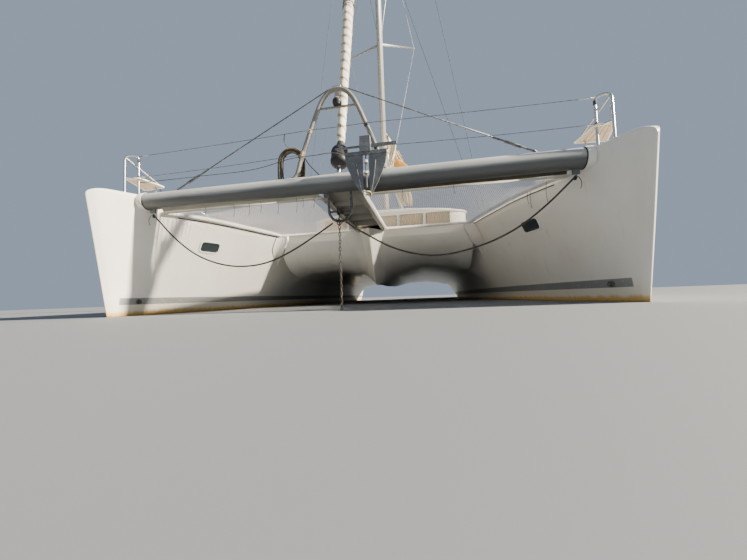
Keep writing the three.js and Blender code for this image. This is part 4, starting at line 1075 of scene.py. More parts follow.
# %% Bridgedeck skin
DECK_Z, FLOOR_Z, BRIDGE_FRONT, BRIDGE_HALF = 1.420, 0.800, -4.100, 1.8497
WELL_FRONT, WELL_HALF = -1.850, 1.750
ROOF_ACROSS = np.array([0.0, 0.33, 0.95, 1.45, 1.85])
ROOF_Y = np.array([-4.1, -2.0, 0.5, 3.0, 4.9])
ROOF_Z = np.array([  # the tunnel roof's height at each place across, for each place along
    (0.400, 0.640, 0.750, 0.730, 0.630),
    (0.400, 0.620, 0.740, 0.700, 0.620),
    (0.460, 0.640, 0.750, 0.700, 0.620),
    (0.600, 0.690, 0.760, 0.700, 0.620),
    (0.720, 0.740, 0.765, 0.710, 0.620),
])


def underside(x, y):
    """Roof height over the tunnel, blended up to the front wall along a quarter of an ellipse."""
    rows = np.stack([np.interp(y, ROOF_Y, ROOF_Z[:, k]) for k in range(len(ROOF_ACROSS))], -1)
    place = np.clip(np.searchsorted(ROOF_ACROSS, np.abs(x), side="right") - 1, 0, len(ROOF_ACROSS) - 2)
    start, stop = ROOF_ACROSS[place], ROOF_ACROSS[place + 1]
    share = step_between(np.abs(x), start, stop) * 0.5 + (np.abs(x) - start) / (stop - start) * 0.5
    pick = np.take_along_axis(rows, place[..., None], -1)[..., 0]
    after = np.take_along_axis(rows, place[..., None] + 1, -1)[..., 0]
    roof = pick + (after - pick) * share
    ahead = np.clip(1 - (y - BRIDGE_FRONT) / 1.0, 0, 1)
    return roof + (1.30 - roof) * (1 - np.sqrt(1 - ahead ** 2))


def bridge_skin():
    """Rings across the boat: the underside to one side, then back over deck, well walls and saloon floor.

    Both runs use the same places across, so the two ends are closed by one row of faces each.
    """
    y = np.sort(np.concatenate([BRIDGE_FRONT + np.linspace(0, 1, 24) ** 2, np.linspace(-3.0, 4.9, 40),
                                [WELL_FRONT, WELL_FRONT + 0.002]]))[1:, None]
    x = np.concatenate([[-BRIDGE_HALF, -WELL_HALF - 0.002], np.linspace(-WELL_HALF, WELL_HALF, 61),
                        [WELL_HALF + 0.002, BRIDGE_HALF]])[None, :]
    in_well = (np.abs(x) <= WELL_HALF) & (y > WELL_FRONT + 0.001)
    top = np.where(in_well, FLOOR_Z, DECK_Z)
    x, y = x + 0 * y, y + 0 * x
    under = np.stack([x, y, underside(x, y)], -1)
    over = np.stack([x, y, top], -1)
    ring = np.concatenate([over, under[:, ::-1]], axis=1)
    walls = [grid(np.stack(pair), around=False) for pair in ((under[0], over[0]), (over[-1], under[-1]))]
    return [grid(ring, ends=False), *walls]


NOSE = np.array([  # height, y of the nose's stem, half width
    (0.390, -3.840, 0.040), (0.520, -3.930, 0.150), (0.800, -4.120, 0.235), (1.150, -4.330, 0.262),
    (1.384, -4.460, 0.265)])


def nose_skin():
    """Level rings up the nacelle's nose: from the stem the sides fall back almost straight."""
    z = np.linspace(NOSE[0, 0], NOSE[-1, 0], 26)[:, None]
    stem, half = [np.interp(z, NOSE[:, 0], NOSE[:, k]) for k in (1, 2)]
    s = np.linspace(-1, 1, 33)[None, :]
    soft = np.sqrt(s ** 2 + 0.0003) - 0.017
    back = np.full_like(z, -3.30)
    x = np.hstack([half * s, half, -half])
    y = np.hstack([stem + 0.42 * soft ** 1.15, back, back])
    return np.stack([x, y, z + 0 * x], -1)


piece("bridgedeck_skin", bridge_skin(), HULL_GELCOAT, "gelcoat", replaces=["bridgedeck"], angle=40)
piece("nacelle_nose", [grid(nose_skin())], HULL_GELCOAT, "gelcoat", angle=50)


# %% Cove where the hull's inner side meets the front wall
def cove(side):
    """For each height, a curve that leaves the wall, bends round the corner and joins the hull's side.

    It is a quadratic Bezier curve whose middle point is the corner itself.
    """
    z = np.linspace(0.78, DECK_Z - 0.002, 22)[:, None]
    t = np.linspace(0, 1, 9)[None, :]
    ahead = np.clip((1.30 - z) / 0.68, 0, 1)
    wall = BRIDGE_FRONT + 1 - np.sqrt(1 - np.clip(ahead - 0.02, 0, 1) ** 2)
    reach = 0.16 * step_between(z, 0.80, 1.15) + 0.002
    corner = HULL_X - inner_u(wall, z)
    far = HULL_X - inner_u(wall - reach, z)
    x = (1 - t) ** 2 * (corner - reach) + 2 * t * (1 - t) * corner + t * t * (far - 0.003)
    y = (1 - t) ** 2 * (wall - 0.004) + 2 * t * (1 - t) * (wall - 0.004) + t * t * (wall - reach)
    x, y = np.hstack([x, corner + 0.002]), np.hstack([y, wall + 0.002])
    return facing(np.stack([side * x, y, z + 0 * x], -1), side)


for name, side in SIDES:
    piece(f"cove_{name}", [grid(cove(side))], HULL_GELCOAT, "gelcoat")

# %% [markdown]
# ## The crossbeam
#
# A round aluminium tube holds the bows apart and carries the forestay. It ends in a collar against each hull,
# and under each end is a lug for the anchor bridle. Swept tubes make it, with more sides than the model has.

# %% Where the hull's inner face is
def side_x(y, z):
    """Distance from the centreline to the hull's inner face at a true place: the rake is taken out first."""
    lean = RAKE * z
    station = (y + lean * (1 + RAKE_START / RAKE_LENGTH)) / (1 + lean / RAKE_LENGTH)
    station = np.where(station < RAKE_START + RAKE_LENGTH, station, y)
    return HULL_X - inner_u(station, z)


def bar(a, b, radius, sides=12, end_radius=None, steps=2):
    """A straight round bar from a to b; end_radius makes it a cone."""
    path = np.linspace(np.asarray(a, float), np.asarray(b, float), steps)
    return swept(path, np.linspace(radius, radius if end_radius is None else end_radius, steps), sides)


def turned(a, b, profile, sides=24):
    """A lathe piece on the line from a to b: profile lists (share of the way, radius)."""
    a, b = np.asarray(a, float), np.asarray(b, float)
    share, radius = np.array(profile, float).T
    path = a + (b - a) * share[:, None]
    even = np.linspace(a, b, len(share))
    points, faces, uv = swept(even, radius, sides)
    rings = points[:len(share) * sides].reshape(len(share), sides, 3)
    rings += (path - even)[:, None]
    points[len(share) * sides:] = [rings[0].mean(0), rings[-1].mean(0)]
    return points, faces, uv


# %% Crossbeam
beam_at = lambda x, y=0, z=0: np.array([x, BEAM_Y + y, BEAM_Z + z])
collar = float(side_x(BEAM_Y, BEAM_Z))
sockets, gaskets = [[turned(beam_at(side * start), beam_at(side * stop), profile, 48) for _, side in SIDES]
                    for start, stop, profile in (
    (collar - 0.024, BEAM_END,
     [(0, 0.108), (0.02, 0.119), (0.12, 0.121), (0.90, 0.121), (0.97, 0.116), (1, 0.100)]),
    (collar - 0.034, collar - 0.022, [(0, 0.108), (0.2, 0.1155), (0.8, 0.1155), (1, 0.108)]))]
beam_parts = [swept(np.linspace(beam_at(0.03 - BEAM_END), beam_at(BEAM_END - 0.03), 25), BEAM_RADIUS, 48)]
beam_parts += [block(beam_at(x - 0.036, -0.010, -0.165), beam_at(x + 0.036, 0.010, -0.095))
               for x in (LUG_X, -LUG_X)]
beam_parts.append(block(beam_at(-0.060, -0.048, 0.08), beam_at(0.060, 0.048, 0.109), 0.8))
piece("beam_skin", beam_parts, BEAM_ALLOY, "alloy", replaces=["crossbeam"], angle=40)
piece("beam_sockets", sockets, HULL_GELCOAT, "gelcoat", angle=40)
piece("beam_gaskets", gaskets, BLACK_PLASTIC, "black_casing")

# %% Shackles and lashings at the beam's ends
def ring(centre, normal, radius, wire, sides=8, count=28, stretch=1.0):
    """A closed ring of round wire about a normal; stretch lengthens it up and down into a link."""
    normal = unit(np.asarray(normal, float))
    flat = unit(np.cross(normal, (0, 0, 1.0)))
    up = np.cross(flat, normal)
    t = np.linspace(0, 2 * np.pi, count, endpoint=False)[:, None]
    out = flat * np.cos(t) + up * np.sin(t)
    middle = np.asarray(centre, float) + radius * (flat * np.cos(t) + up * np.sin(t) * stretch)
    a = np.linspace(0, 2 * np.pi, sides, endpoint=False)[None, :, None]
    rings = middle[:, None] + wire * (out[:, None] * np.cos(a) + normal * np.sin(a))
    rings = np.concatenate([rings, rings[:1]])
    return grid(rings, ends=False, across=np.linspace(0, 2 * np.pi * wire, sides + 1),
                along=np.linspace(0, 2 * np.pi * radius * stretch, count + 1))


def binding(centre, axis, radius, turns, width, line):
    """Line wound turns times round an axis: a helix of the radius that advances width in all."""
    axis = unit(np.asarray(axis, float))
    first = unit(np.cross(axis, (0.3, 0.5, 0.81)))
    second = np.cross(axis, first)
    t = np.linspace(0, 1, int(turns * 14))[:, None]
    angle = t * turns * 2 * np.pi
    path = np.asarray(centre, float) + axis * (t - 0.5) * width + radius * (
        first * np.cos(angle) + second * np.sin(angle))
    return swept(path, line, 6)


shackles, seizings = [], []
for _, side in SIDES:
    x = side * LUG_X
    shackles += [ring(beam_at(x, 0, -0.150), (0, 1, 0), 0.020, 0.0055, stretch=1.3),
                 bar(beam_at(x - 0.028, 0, -0.128), beam_at(x + 0.028, 0, -0.128), 0.006)]
    loose_end = [beam_at(x + side * u, y, z) for u, y, z in (
        (0, -0.02, -0.19), (0.03, -0.03, -0.24), (0.022, -0.025, -0.33))]
    seizings += [binding(beam_at(x - side * 0.012, 0, -0.205), (side * 0.45, 0, 1), 0.0155, 5, 0.030, 0.0035),
                 swept(through(loose_end, 14), 0.0035, 6)]
piece("bridle_shackles", shackles, STAINLESS, "steel")
piece("bridle_seizings", seizings, ROPE_DARK, "rope")

# %% [markdown]
# ## The centre spar
#
# A channel of folded alloy runs from the beam to the nacelle's nose, open below, and the nets are tied to it.
# Seen from the water it shows its hollow, with a stiffening rib at each quarter and a row of round holes.

# %% Centre spar
SPAR_HALF, SPAR_WALL, SPAR_DEEP, SPAR_FORE, SPAR_AFT = 0.255, 0.012, 0.115, -6.178, -4.1005
SPAR_TOP_FORE, SPAR_TOP_AFT = 1.515, 1.4993


def spar_top(y):
    """Height of the spar's top: it falls in a straight line from the beam to the nacelle."""
    return SPAR_TOP_FORE + (SPAR_TOP_AFT - SPAR_TOP_FORE) * (y - BEAM_Y) / (BRIDGE_FRONT - BEAM_Y)


def channel():
    """The folded channel: outside up, over and down, then back inside, carried along the spar."""
    y = np.linspace(SPAR_FORE, SPAR_AFT, 20)[:, None]
    out, within, low, under = SPAR_HALF, SPAR_HALF - SPAR_WALL, -SPAR_DEEP, -SPAR_WALL
    x = np.array([-out, -out, -within, within, out, out, within, within, -within, -within])[None, :]
    z = np.array([low, under, 0, 0, under, low, low, under, under, low])[None, :]
    return np.stack([x + 0 * y, y + 0 * x, spar_top(y) + z], -1)


points = channel()
lids = [grid(np.stack([row[[0, 1, 2, 3, 4, 5]], row[[9, 8, 8, 7, 7, 6]]]), around=False)
        for row in (points[0], points[-1][::-1])]
ribs = [block((-0.242, y - 0.004, spar_top(y) - 0.085), (0.242, y + 0.004, spar_top(y) - SPAR_WALL))
        for y in np.linspace(-5.7, -4.5, 4)]
flanges = [block((min(a, b), SPAR_FORE, 0), (max(a, b), SPAR_AFT, 0.004))
           for a, b in ((-0.243, -0.205), (0.205, 0.243))]
for vertices, _, _ in flanges:
    vertices[:, 2] += spar_top(vertices[:, 1]) - SPAR_DEEP
piece("spar_channel", [grid(points, ends=False), *lids, *ribs, *flanges], CHANNEL_ALLOY, "alloy",
      replaces=["centre_spar"], angle=30)
piece("spar_eyelets", [ring((x, y, spar_top(y) - 0.055), (1, 0, 0), 0.018, 0.0035, 6, 16)
                       for y in np.linspace(-5.95, -4.35, 9) for x in (-0.241, 0.241)], BLACK_PLASTIC,
      "black_casing")

# %% [markdown]
# ## The nets
#
# Two nets of white cord fill the space between the hulls. Each is stretched, laced to a track on the hull and
# to the spar, and edged with a doubled band of webbing. The mesh is far too fine to model, so it is a thin
# sheet with its holes in the alpha, while the band and the lacing that one can see are real pieces.

# %% Nets
NET_FRONT, NET_AFT, NET_Z, NET_INNER, NET_OUTER, NET_GAP = -6.176, -4.108, 1.4175, 0.262, 2.70, 0.016


def net_limit(y):
    """How far out the net reaches: to a small gap from the hull's inner side, and never beyond its track."""
    return np.minimum(side_x(y, NET_Z), NET_OUTER) - NET_GAP


def net_surface(side):
    """Across from spar to hull, along from beam to bridgedeck; it sags by sine times sine of the shares."""
    t = np.linspace(0, 1, 44)[:, None]
    s = np.linspace(0, 1, 40)[None, :]
    y = NET_FRONT + (NET_AFT - NET_FRONT) * t
    x = NET_INNER + (net_limit(y) - NET_INNER) * s
    z = NET_Z - 0.034 * np.sin(np.pi * s) * np.sin(np.pi * t)
    return facing(thin(np.stack([side * x, y + 0 * x, z], -1), [0, 0, -0.003]), side)


def net_edge(side, inset):
    """The net's outline drawn in by inset: along the hull, the bridgedeck, the spar and the beam."""
    y = np.linspace(NET_FRONT + inset, NET_AFT - inset, 30)
    y = np.concatenate([y, y[[-1, 0, 0]]])
    x = net_limit(y) - inset
    x[-3:-1] = NET_INNER + inset
    return np.stack([side * x, y, np.full(len(y), NET_Z)], 1)


def zigzag(edge, track, pitch):
    """Lacing: points that go back and forth between two lines, one step every pitch."""
    count = max(6, int(length_of(edge) / pitch))
    pick = [np.stack([np.interp(np.linspace(0, 1, count), np.linspace(0, 1, len(line)), line[:, k])
                      for k in range(3)], 1) for line in (edge, track)]
    points = np.empty((2 * count - 1, 3))
    points[0::2] = pick[0]
    points[1::2] = (pick[1][1:] + pick[1][:-1]) / 2
    return points


FRONT_KNOT = (-6.188, 1.425)
NET_TAILS = {  # x of the knot, its y and z, and how far the loose end hangs
    "starboard": [(x, *FRONT_KNOT, drop) for x, drop in (
        (1.480, 0.17), (1.260, 0.17), (1.095, 0.14), (0.855, 0.18), (0.603, 0.18), (0.516, 0.13), (0.372, 0.15),
        (1.90, 0.10))],
    "port": [(2.309, -5.671, 1.412, 0.16), (2.335, -5.696, 1.412, 0.22), (2.417, -5.989, 1.412, 0.25),
             (1.35, *FRONT_KNOT, 0.12), (0.75, *FRONT_KNOT, 0.15)]}
APRON_FROM, APRON_TO, APRON_TOP = 0.300, 2.560, (-6.205, 1.5000)


def apron(side):
    """A strip of canvas from the net's fore edge up to the track on the beam, as a thin closed shell."""
    x = np.linspace(APRON_FROM, APRON_TO, 60)[:, None]
    t = np.linspace(0, 1, 6)[None, :]
    y = NET_FRONT + (APRON_TOP[0] - NET_FRONT) * t - 0.010 * np.sin(np.pi * t)
    z = NET_Z + (APRON_TOP[1] - NET_Z) * t + 0.003 * np.sin(40 * x) * np.sin(np.pi * t)
    return facing(thin(np.stack([side * x + 0 * t, y + 0 * x, z], -1), [0, 0.002, 0]), -side)


for name, side in SIDES:
    # the port strip's dark and the starboard strip's cream are painted shade and painted light on one canvas
    strip = piece(f"net_apron_{name}", [grid(apron(side))], APRON_SHADE_AND_LIGHT[name], "net")
    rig.sheet(strip, flat=(0.088, 2.26), held="stretched", rests_on=["crossbeam"])
    net = piece(f"net_{name}", [grid(net_surface(side))], NET_WHITE, "net", replaces=[f"trampoline_{name}"])
    band = piece(f"net_band_{name}", [swept(net_edge(side, 0.028), 0.026, 10, 0.16)], WEBBING_WHITE, "net")
    hull_run = net_edge(side, 0.012)[:30]
    aft_run = np.linspace((side * 0.30, NET_AFT - 0.01, NET_Z), (side * 1.84, NET_AFT - 0.01, NET_Z), 20)
    lacing = piece(f"net_lacing_{name}", [
        swept(zigzag(run, run + to_track, pitch), 0.0035, 5) for run, to_track, pitch in (
            (hull_run, [side * 0.020, 0, 0.010], 0.075), (aft_run, [0, 0.004, 0.012], 0.08))], ROPE_WHITE, "rope")
    tails = piece(f"net_tails_{name}", [swept(through([
        (side * x, y, z), (side * (x - 0.006), y + 0.006, z - drop * 0.5), (side * (x + 0.004), y, z - drop)], 8),
        0.0026, 5) for x, y, z, drop in NET_TAILS[name]], ROPE_DARK, "rope")
    reach = net_limit(np.linspace(NET_FRONT, NET_AFT, 50)) - NET_INNER
    flat_area = float(reach.mean() * (NET_AFT - NET_FRONT))
    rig.sheet(net, flat=(2.42, 2.07), held="stretched", area=round(flat_area, 3),
             rests_on=[f"hull_{name}", "crossbeam", "centre_spar", "bridgedeck"],
             with_pieces=[band, lacing, tails])
    print("net area", name, round(flat_area, 2))

# %% [markdown]
# ## The arch, its stay and its lamp
#
# The forestay pulls the beam's middle up, so a stay from the beam's ends over an arch pulls it down again.
# The arch is a bent alloy tube with a crossbar. A lamp hangs under its top from a bracket.

# %% Striker arch
ARCH_LEG = [(0.560, 1.632), (0.535, 1.690), (0.487, 1.850), (0.415, 2.050), (0.340, 2.240), (0.265, 2.430),
            (0.185, 2.590), (0.095, 2.680), (0.0, 2.706)]
ARCH_TUBE = 0.028
arch_line = through([(x, BEAM_Y, z) for x, z in ARCH_LEG] + [(-x, BEAM_Y, z) for x, z in ARCH_LEG[-2::-1]], 72)
arch_feet = [turned((side * 0.566, BEAM_Y, 1.622), (side * 0.545, BEAM_Y, 1.672), [
    (0, 0.050), (0.3, 0.050), (0.4, 0.036), (1, 0.030)]) for side in (-1, 1)]
piece("arch_tube",
      [swept(arch_line, ARCH_TUBE, 20), bar((-0.246, BEAM_Y, 2.476), (0.246, BEAM_Y, 2.476), 0.0135, 14),
                    *arch_feet], ARCH_ALLOY, "alloy", replaces=["striker_arch"], angle=45)


def tape(centre, axis, radius, width, bulge=0.003):
    """A few turns of tape: a short sleeve whose middle stands a little proud."""
    half = unit(np.asarray(axis, float)) * width / 2
    sleeve_profile = [(0, -0.001), (0.02, bulge * 0.6), (0.3, bulge), (0.5, bulge * 0.7), (0.7, bulge),
                      (0.98, bulge * 0.6), (1, -0.001)]
    return turned(centre - half, centre + half, [(share, radius + proud) for share, proud in sleeve_profile], 18)


for name, material, slot, places in (
        ("arch_tape_tan", TAN_TAPE, "beige_cloth", (
            (-0.356, 2.205, 0.39, 0.05), (-0.463, 1.920, 0.37, 0.06), (-0.452, 1.955, 0.37, 0.02))),
        ("arch_tape_dark", DARK_TAPE, "black_casing",
         ((0.356, 2.205, -0.39, 0.05), (0.463, 1.920, -0.37, 0.055)))):
    piece(name, [tape((x, BEAM_Y, z), (lean, 0, 1), ARCH_TUBE, wide) for x, z, lean, wide in places], material,
          slot)

# %% Striker stay with its turnbuckle
STAY_TOP = 2.7423
stay_end = np.array([2.240, BEAM_Y, 1.6483])
mirror = np.array([-1.0, 1, 1])
stay_route = rounded([stay_end * mirror, (0.0, BEAM_Y, STAY_TOP + 0.022), stay_end], 0.16, 14)
stay_way = unit(stay_end - [0.0, BEAM_Y, STAY_TOP])
screws = [turned((stay_end - stay_way * 0.52) * flip, (stay_end - stay_way * 0.02) * flip, [
    (0, 0.008), (0.04, 0.011), (0.28, 0.011), (0.30, 0.017), (0.66, 0.017), (0.68, 0.011), (0.94, 0.011),
    (0.96, 0.016), (1, 0.010)], 14) for flip in (1, mirror)]
piece("striker_wire", [swept(stay_route, 0.0068, 10)], DARK_WIRE, "steel", replaces=["striker_stays"])
piece("striker_screws", screws, DARK_WIRE, "steel", angle=40)
piece("stay_saddle", [turned((-0.055, BEAM_Y, 2.738), (0.055, BEAM_Y, 2.738), [
    (0, 0.010), (0.1, 0.014), (0.9, 0.014), (1, 0.010)], 14)], STAINLESS, "steel")

# %% Lamp and bracket under the arch
# the bracket's pink-grey colour is a painted reflection on steel
piece("arch_bracket", [block((-0.030, BEAM_Y - 0.016, 2.585), (0.030, BEAM_Y + 0.016, 2.682), 0.7),
                       turned((0, BEAM_Y, 2.590), (0, BEAM_Y, 2.555), [(0, 0.034), (0.2, 0.040), (1, 0.036)])],
      PINK_GREY, "black_casing", bevel=0.004)
piece("arch_lamp", [turned((0, BEAM_Y, 2.578), (0, BEAM_Y, 2.484), [
    (0, 0.020), (0.04, 0.045), (0.16, 0.054), (0.30, 0.0565), (0.55, 0.0565), (0.62, 0.051), (0.70, 0.050),
    (0.86, 0.046), (0.97, 0.030), (1, 0.012)], 32)], BLACK_PLASTIC, "black_casing")

# %% [markdown]
# ## The furled headsail
#
# The headsail is wound round its stay like a blind, from a drum at the foot. Wound cloth shows its edge as a
# spiral that climbs the roll, and the sheets are wrapped round it near its clew. The roll is one surface: its
# radius is a function of the height and of the angle, with a step where the cloth's edge lies on it.

# %% Furler drum
STAY_FOOT, STAY_HEAD = np.array([0, BEAM_Y, 1.700]), np.array([0, -1.870, 17.400])
STAY_RUN = STAY_HEAD - STAY_FOOT
SAIL_FOOT, SAIL_TOP, TURN_RISE = 2.02, 16.6, 0.155


def on_stay(z):
    """Point of the stay's line at a height."""
    return STAY_FOOT + STAY_RUN * ((np.asarray(z, float) - STAY_FOOT[2]) / STAY_RUN[2])[..., None]


piece("furler_drum", [turned(on_stay(1.742), on_stay(2.112), [
    (0, 0.040), (0.02, 0.078), (0.06, 0.098), (0.12, 0.109), (0.19, 0.112), (0.24, 0.106), (0.27, 0.099),
    (0.44, 0.099), (0.47, 0.106), (0.52, 0.110), (0.58, 0.105), (0.64, 0.092), (0.70, 0.072), (0.75, 0.055),
    (0.84, 0.046), (0.95, 0.042), (0.97, 0.038), (1, 0.022)], 40)], BLACK_PLASTIC, "black_casing", "headsail",
    angle=50)
piece("furling_turns", [binding(on_stay(1.874), STAY_RUN, 0.101, 5, 0.050, 0.0050)], ROPE_DARK, "rope",
      "headsail")


# %% Wound sail
def wound_sail(heights):
    """Radius by height, plus a step that climbs the roll with each turn of the cloth, plus soft crumples."""
    z = heights[:, None]
    a = np.linspace(0, 2 * np.pi, 36, endpoint=False)[None, :]
    girth = np.interp(z, [2.02, 2.10, 2.30, 3.0, 4.2, 4.62, 4.85, 5.3, 9.0, 16.2, 16.6],
                      [0.026, 0.042, 0.048, 0.055, 0.068, 0.073, 0.079, 0.078, 0.064, 0.034, 0.026])
    turn = (z / TURN_RISE + a / (2 * np.pi)) % 1.0
    step = 0.0125 * (1 - turn) ** 0.7 * np.clip(turn / 0.12, 0, 1) ** 0.6
    crumple = 0.0022 * np.sin(5 * a + 3.1 * z) * np.sin(7.3 * z + 1.0)
    slant = unit(STAY_RUN)
    across = unit(np.cross(slant, (0, 1.0, 0)))
    over = np.cross(slant, across)
    return (on_stay(heights)[:, None] + (girth + step + crumple)[..., None] * (
        across * np.cos(a)[..., None] + over * np.sin(a)[..., None]))


def wrapped_cloth():
    """Cream cloth with a brown shadow under each turn's edge.

    The turn comes from the height and the angle about the stay, by the same sum as in the mesh.
    """
    paint = Paint("wound_sailcloth")
    place = paint.place()
    u, v, _ = paint.split(paint.strip())
    turn = (v / TURN_RISE + u).cycle(1.0)
    soil = paint.noise(place, 3.0, 5.0, 0.6)
    colour = paint.mix((0.70, 0.61, 0.45), (0.84, 0.78, 0.66), soil.rise(0.35, 0.7))
    edge = turn.rise(0.0, 0.03) * turn.rise(0.30, 0.05)
    colour = paint.mix(colour, (0.26, 0.17, 0.08), edge * 0.75)
    weave = (v * (2 * math.pi / 0.0024)).wave()
    creases = paint.noise(paint.stretched(place, (9.0, 9.0, 22.0)), 1.6, 3.0)
    return paint.finish(colour, 0.78, paint.bump(weave * 0.1 + creases, 0.003, 0.4), Sheen_Weight=0.25)


heights = np.linspace(SAIL_FOOT, SAIL_TOP, 700)
wound = piece("wound_headsail", [grid(wound_sail(heights), across=np.linspace(0, 1, 37), along=heights)],
              wrapped_cloth(), "sailcloth", "headsail", replaces=["furled_headsail"])
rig.padded(wound, fill=0.9)
piece("head_swivel", [turned(on_stay(16.58), on_stay(16.88), [
    (0, 0.024), (0.05, 0.030), (0.4, 0.030), (0.45, 0.022), (0.6, 0.022), (0.65, 0.029), (0.95, 0.029),
    (1, 0.018)])], BLACK_PLASTIC, "black_casing", "headsail")
piece("clew_fittings", [ring(on_stay(4.80) + [-0.075, -0.030, 0], (0.3, 1, 0), 0.022, 0.006, stretch=1.4),
                        ring(on_stay(4.70) + [-0.010, -0.086, 0.0], (1, 0.4, 0), 0.020, 0.006, stretch=1.5)],
      BLACK_PLASTIC, "black_casing", "headsail")
piece("sheet_turns", [binding(on_stay(z), STAY_RUN, radius, turns, width, 0.006) for z, radius, turns, width in (
    (4.56, 0.082, 3, 0.16), (4.98, 0.088, 2, 0.10))], ROPE_DARK, "rope", "headsail")
piece("forestay_toggle", [turned(on_stay(1.640), on_stay(1.756), [
    (0, 0.016), (0.06, 0.022), (0.4, 0.022), (0.45, 0.014), (0.8, 0.014), (0.85, 0.020), (1, 0.020)]),
    bar((-0.034, BEAM_Y, 1.668), (0.034, BEAM_Y, 1.668), 0.009)], STAINLESS, "steel")

# %% [markdown]
# ## Chain and roller loop
#
# The anchor chain goes straight down from a roller inside a steel loop under the beam. Its links are round
# bar bent to an oval, each turned a quarter from the next, so one link made by a formula is set down many
# times.

# %% Chain links
LINK_WIRE, LINK_LONG, LINK_WIDE, LINK_PITCH = 0.0052, 0.0270, 0.0112, 0.0436
CHAIN_TOP, CHAIN_LOW = 1.214, -0.058
links = [ring((0.0, CHAIN_Y, CHAIN_TOP - 0.02 - k * LINK_PITCH), (0, 1, 0) if k % 2 else (1, 0, 0), LINK_WIDE,
              LINK_WIRE, 6, 14, LINK_LONG / LINK_WIDE) for k in range(int((CHAIN_TOP - CHAIN_LOW) / LINK_PITCH))]
piece("chain_links", links, CHAIN_STEEL, "galvanised", replaces=["anchor_chain"])

# %% Loop and roller
LOOP_HALF, LOOP_LOW, LOOP_MIDDLE = 0.1395, 0.140, 1.200
leg = [(0.139, 1.440), (LOOP_HALF, 1.330), (LOOP_HALF, 1.220)]
bend = [(LOOP_HALF * math.cos(a), LOOP_MIDDLE - LOOP_LOW * math.sin(a))
        for a in np.radians([12, 35, 58, 90, 122, 145, 168])]
loop_line = through([(x, BEAM_Y, z) for x, z in leg + bend + [(-x, z) for x, z in leg[::-1]]], 60)
piece("guard_loop", [swept(loop_line, 0.0165, 16), bar((-0.138, BEAM_Y, 1.180), (0.138, BEAM_Y, 1.180), 0.010)],
      DARK_STEEL, "steel", replaces=["bow_roller"])
piece("chain_roller", [turned((-0.034, BEAM_Y, 1.180), (0.034, BEAM_Y, 1.180), [
    (0, 0.030), (0.02, 0.042), (0.14, 0.042), (0.30, 0.032), (0.70, 0.032), (0.86, 0.042), (0.98, 0.042),
    (1, 0.030)], 28)], BLACK_PLASTIC, "black_casing")
piece("chain_hook", [ring((0, CHAIN_Y - 0.004, 1.035), (0, 1, 0), 0.026, 0.0075, stretch=1.25),
                     binding((0, CHAIN_Y - 0.004, 1.062), (1, 0, 0), 0.017, 5, 0.10, 0.006)], DARK_STEEL, "steel")

# %% [markdown]
# ## The anchor
#
# A flat plate anchor with two flukes hangs crown up in front of the beam, lashed so that it can't swing. The
# plates are cut from sheet, so each is its outline with a small thickness, ribbed down the middle.

# %% Anchor
ANCHOR_X, ANCHOR_Y, FLUKE_THICK = 0.358, -6.4343, 0.012
FLUKE_OUTLINE = [(0.034, 1.788), (0.246, 1.788), (0.243, 1.740), (0.226, 1.655), (0.186, 1.555), (0.147, 1.467),
                 (0.098, 1.375), (0.046, 1.275), (0.036, 1.290), (0.034, 1.500)]
FLUKE_RIB = [(0.120, -0.006, 1.775), (0.095, -0.007, 1.55), (0.052, -0.006, 1.33)]
ANCHOR_BARS = [  # the crown, the stock's boss, its two arms and the shank: two corners and the taper
    ((-0.066, -0.039, 1.800), (0.066, 0.029, 1.984), 0.92), ((-0.246, -0.017, 1.772), (0.246, 0.017, 1.814), 1),
    ((-0.362, -0.010, 1.866), (-0.05, 0.012, 1.886), 1), ((0.05, -0.012, 1.856), (0.362, 0.012, 1.892), 1),
    ((-0.007, -0.012, 1.395), (0.007, 0.029, 1.874), 1)]
by_anchor = lambda x, y, z: (ANCHOR_X + x, ANCHOR_Y + y, z)
anchor_parts = []
for side in (-1, 1):
    front = np.array([by_anchor(side * x, -FLUKE_THICK / 2, z) for x, z in FLUKE_OUTLINE])
    anchor_parts += [grid(facing(np.stack([front, front + [0, FLUKE_THICK, 0]]), -side)),
                     swept(through([by_anchor(side * x, y, z) for x, y, z in FLUKE_RIB], 12), 0.0045, 8)]
anchor_parts += [block(by_anchor(*low), by_anchor(*high), taper) for low, high, taper in ANCHOR_BARS]
piece("plate_anchor", anchor_parts, GALVANISED, "galvanised", replaces=["anchor"], angle=35, bevel=0.003)
piece("anchor_lashing_white", [
    binding(by_anchor(0, -0.002, z), (0, 0, 1), 0.024, turns, width, 0.0040)
    for z, turns, width in ((1.690, 4, 0.030), (1.560, 3, 0.022))], WEBBING_WHITE, "rope")
loose_end = [by_anchor(0.042, -0.01, 1.327), by_anchor(0.056, -0.02, 1.305), by_anchor(0.050, -0.02, 1.282)]
piece("anchor_lashing_yellow", [binding(by_anchor(0, -0.004, 1.330), (0, 0, 1), 0.046, 2, 0.010, 0.0030),
                                swept(through(loose_end, 8), 0.0030, 6)], WEBBING_YELLOW, "rope")

# %% [markdown]
# ## Pulpits, seats and guard wires
#
# Each bow has a pulpit of polished tube bent round a former, with a small slatted seat in it. Two wires run
# between them by way of the arch. A wire hung between two points sags, by four times its sag times s(1-s).

# %% Pulpits
PULPIT_TUBE, WIRE = 0.014, 0.0036
FORE_POST, AFT_POST, SEAT_POST = (2.833, -6.290), (2.935, -6.400), (2.879, -5.990)


def hung_wire(a, b, sag):
    """A wire from a to b that drops by four times sag times s(1-s)."""
    s = np.linspace(0, 1, 20)[:, None]
    line = np.asarray(a, float) * (1 - s) + np.asarray(b, float) * s
    line[:, 2] -= 4 * sag * (s * (1 - s))[:, 0]
    return swept(line, WIRE, 8)


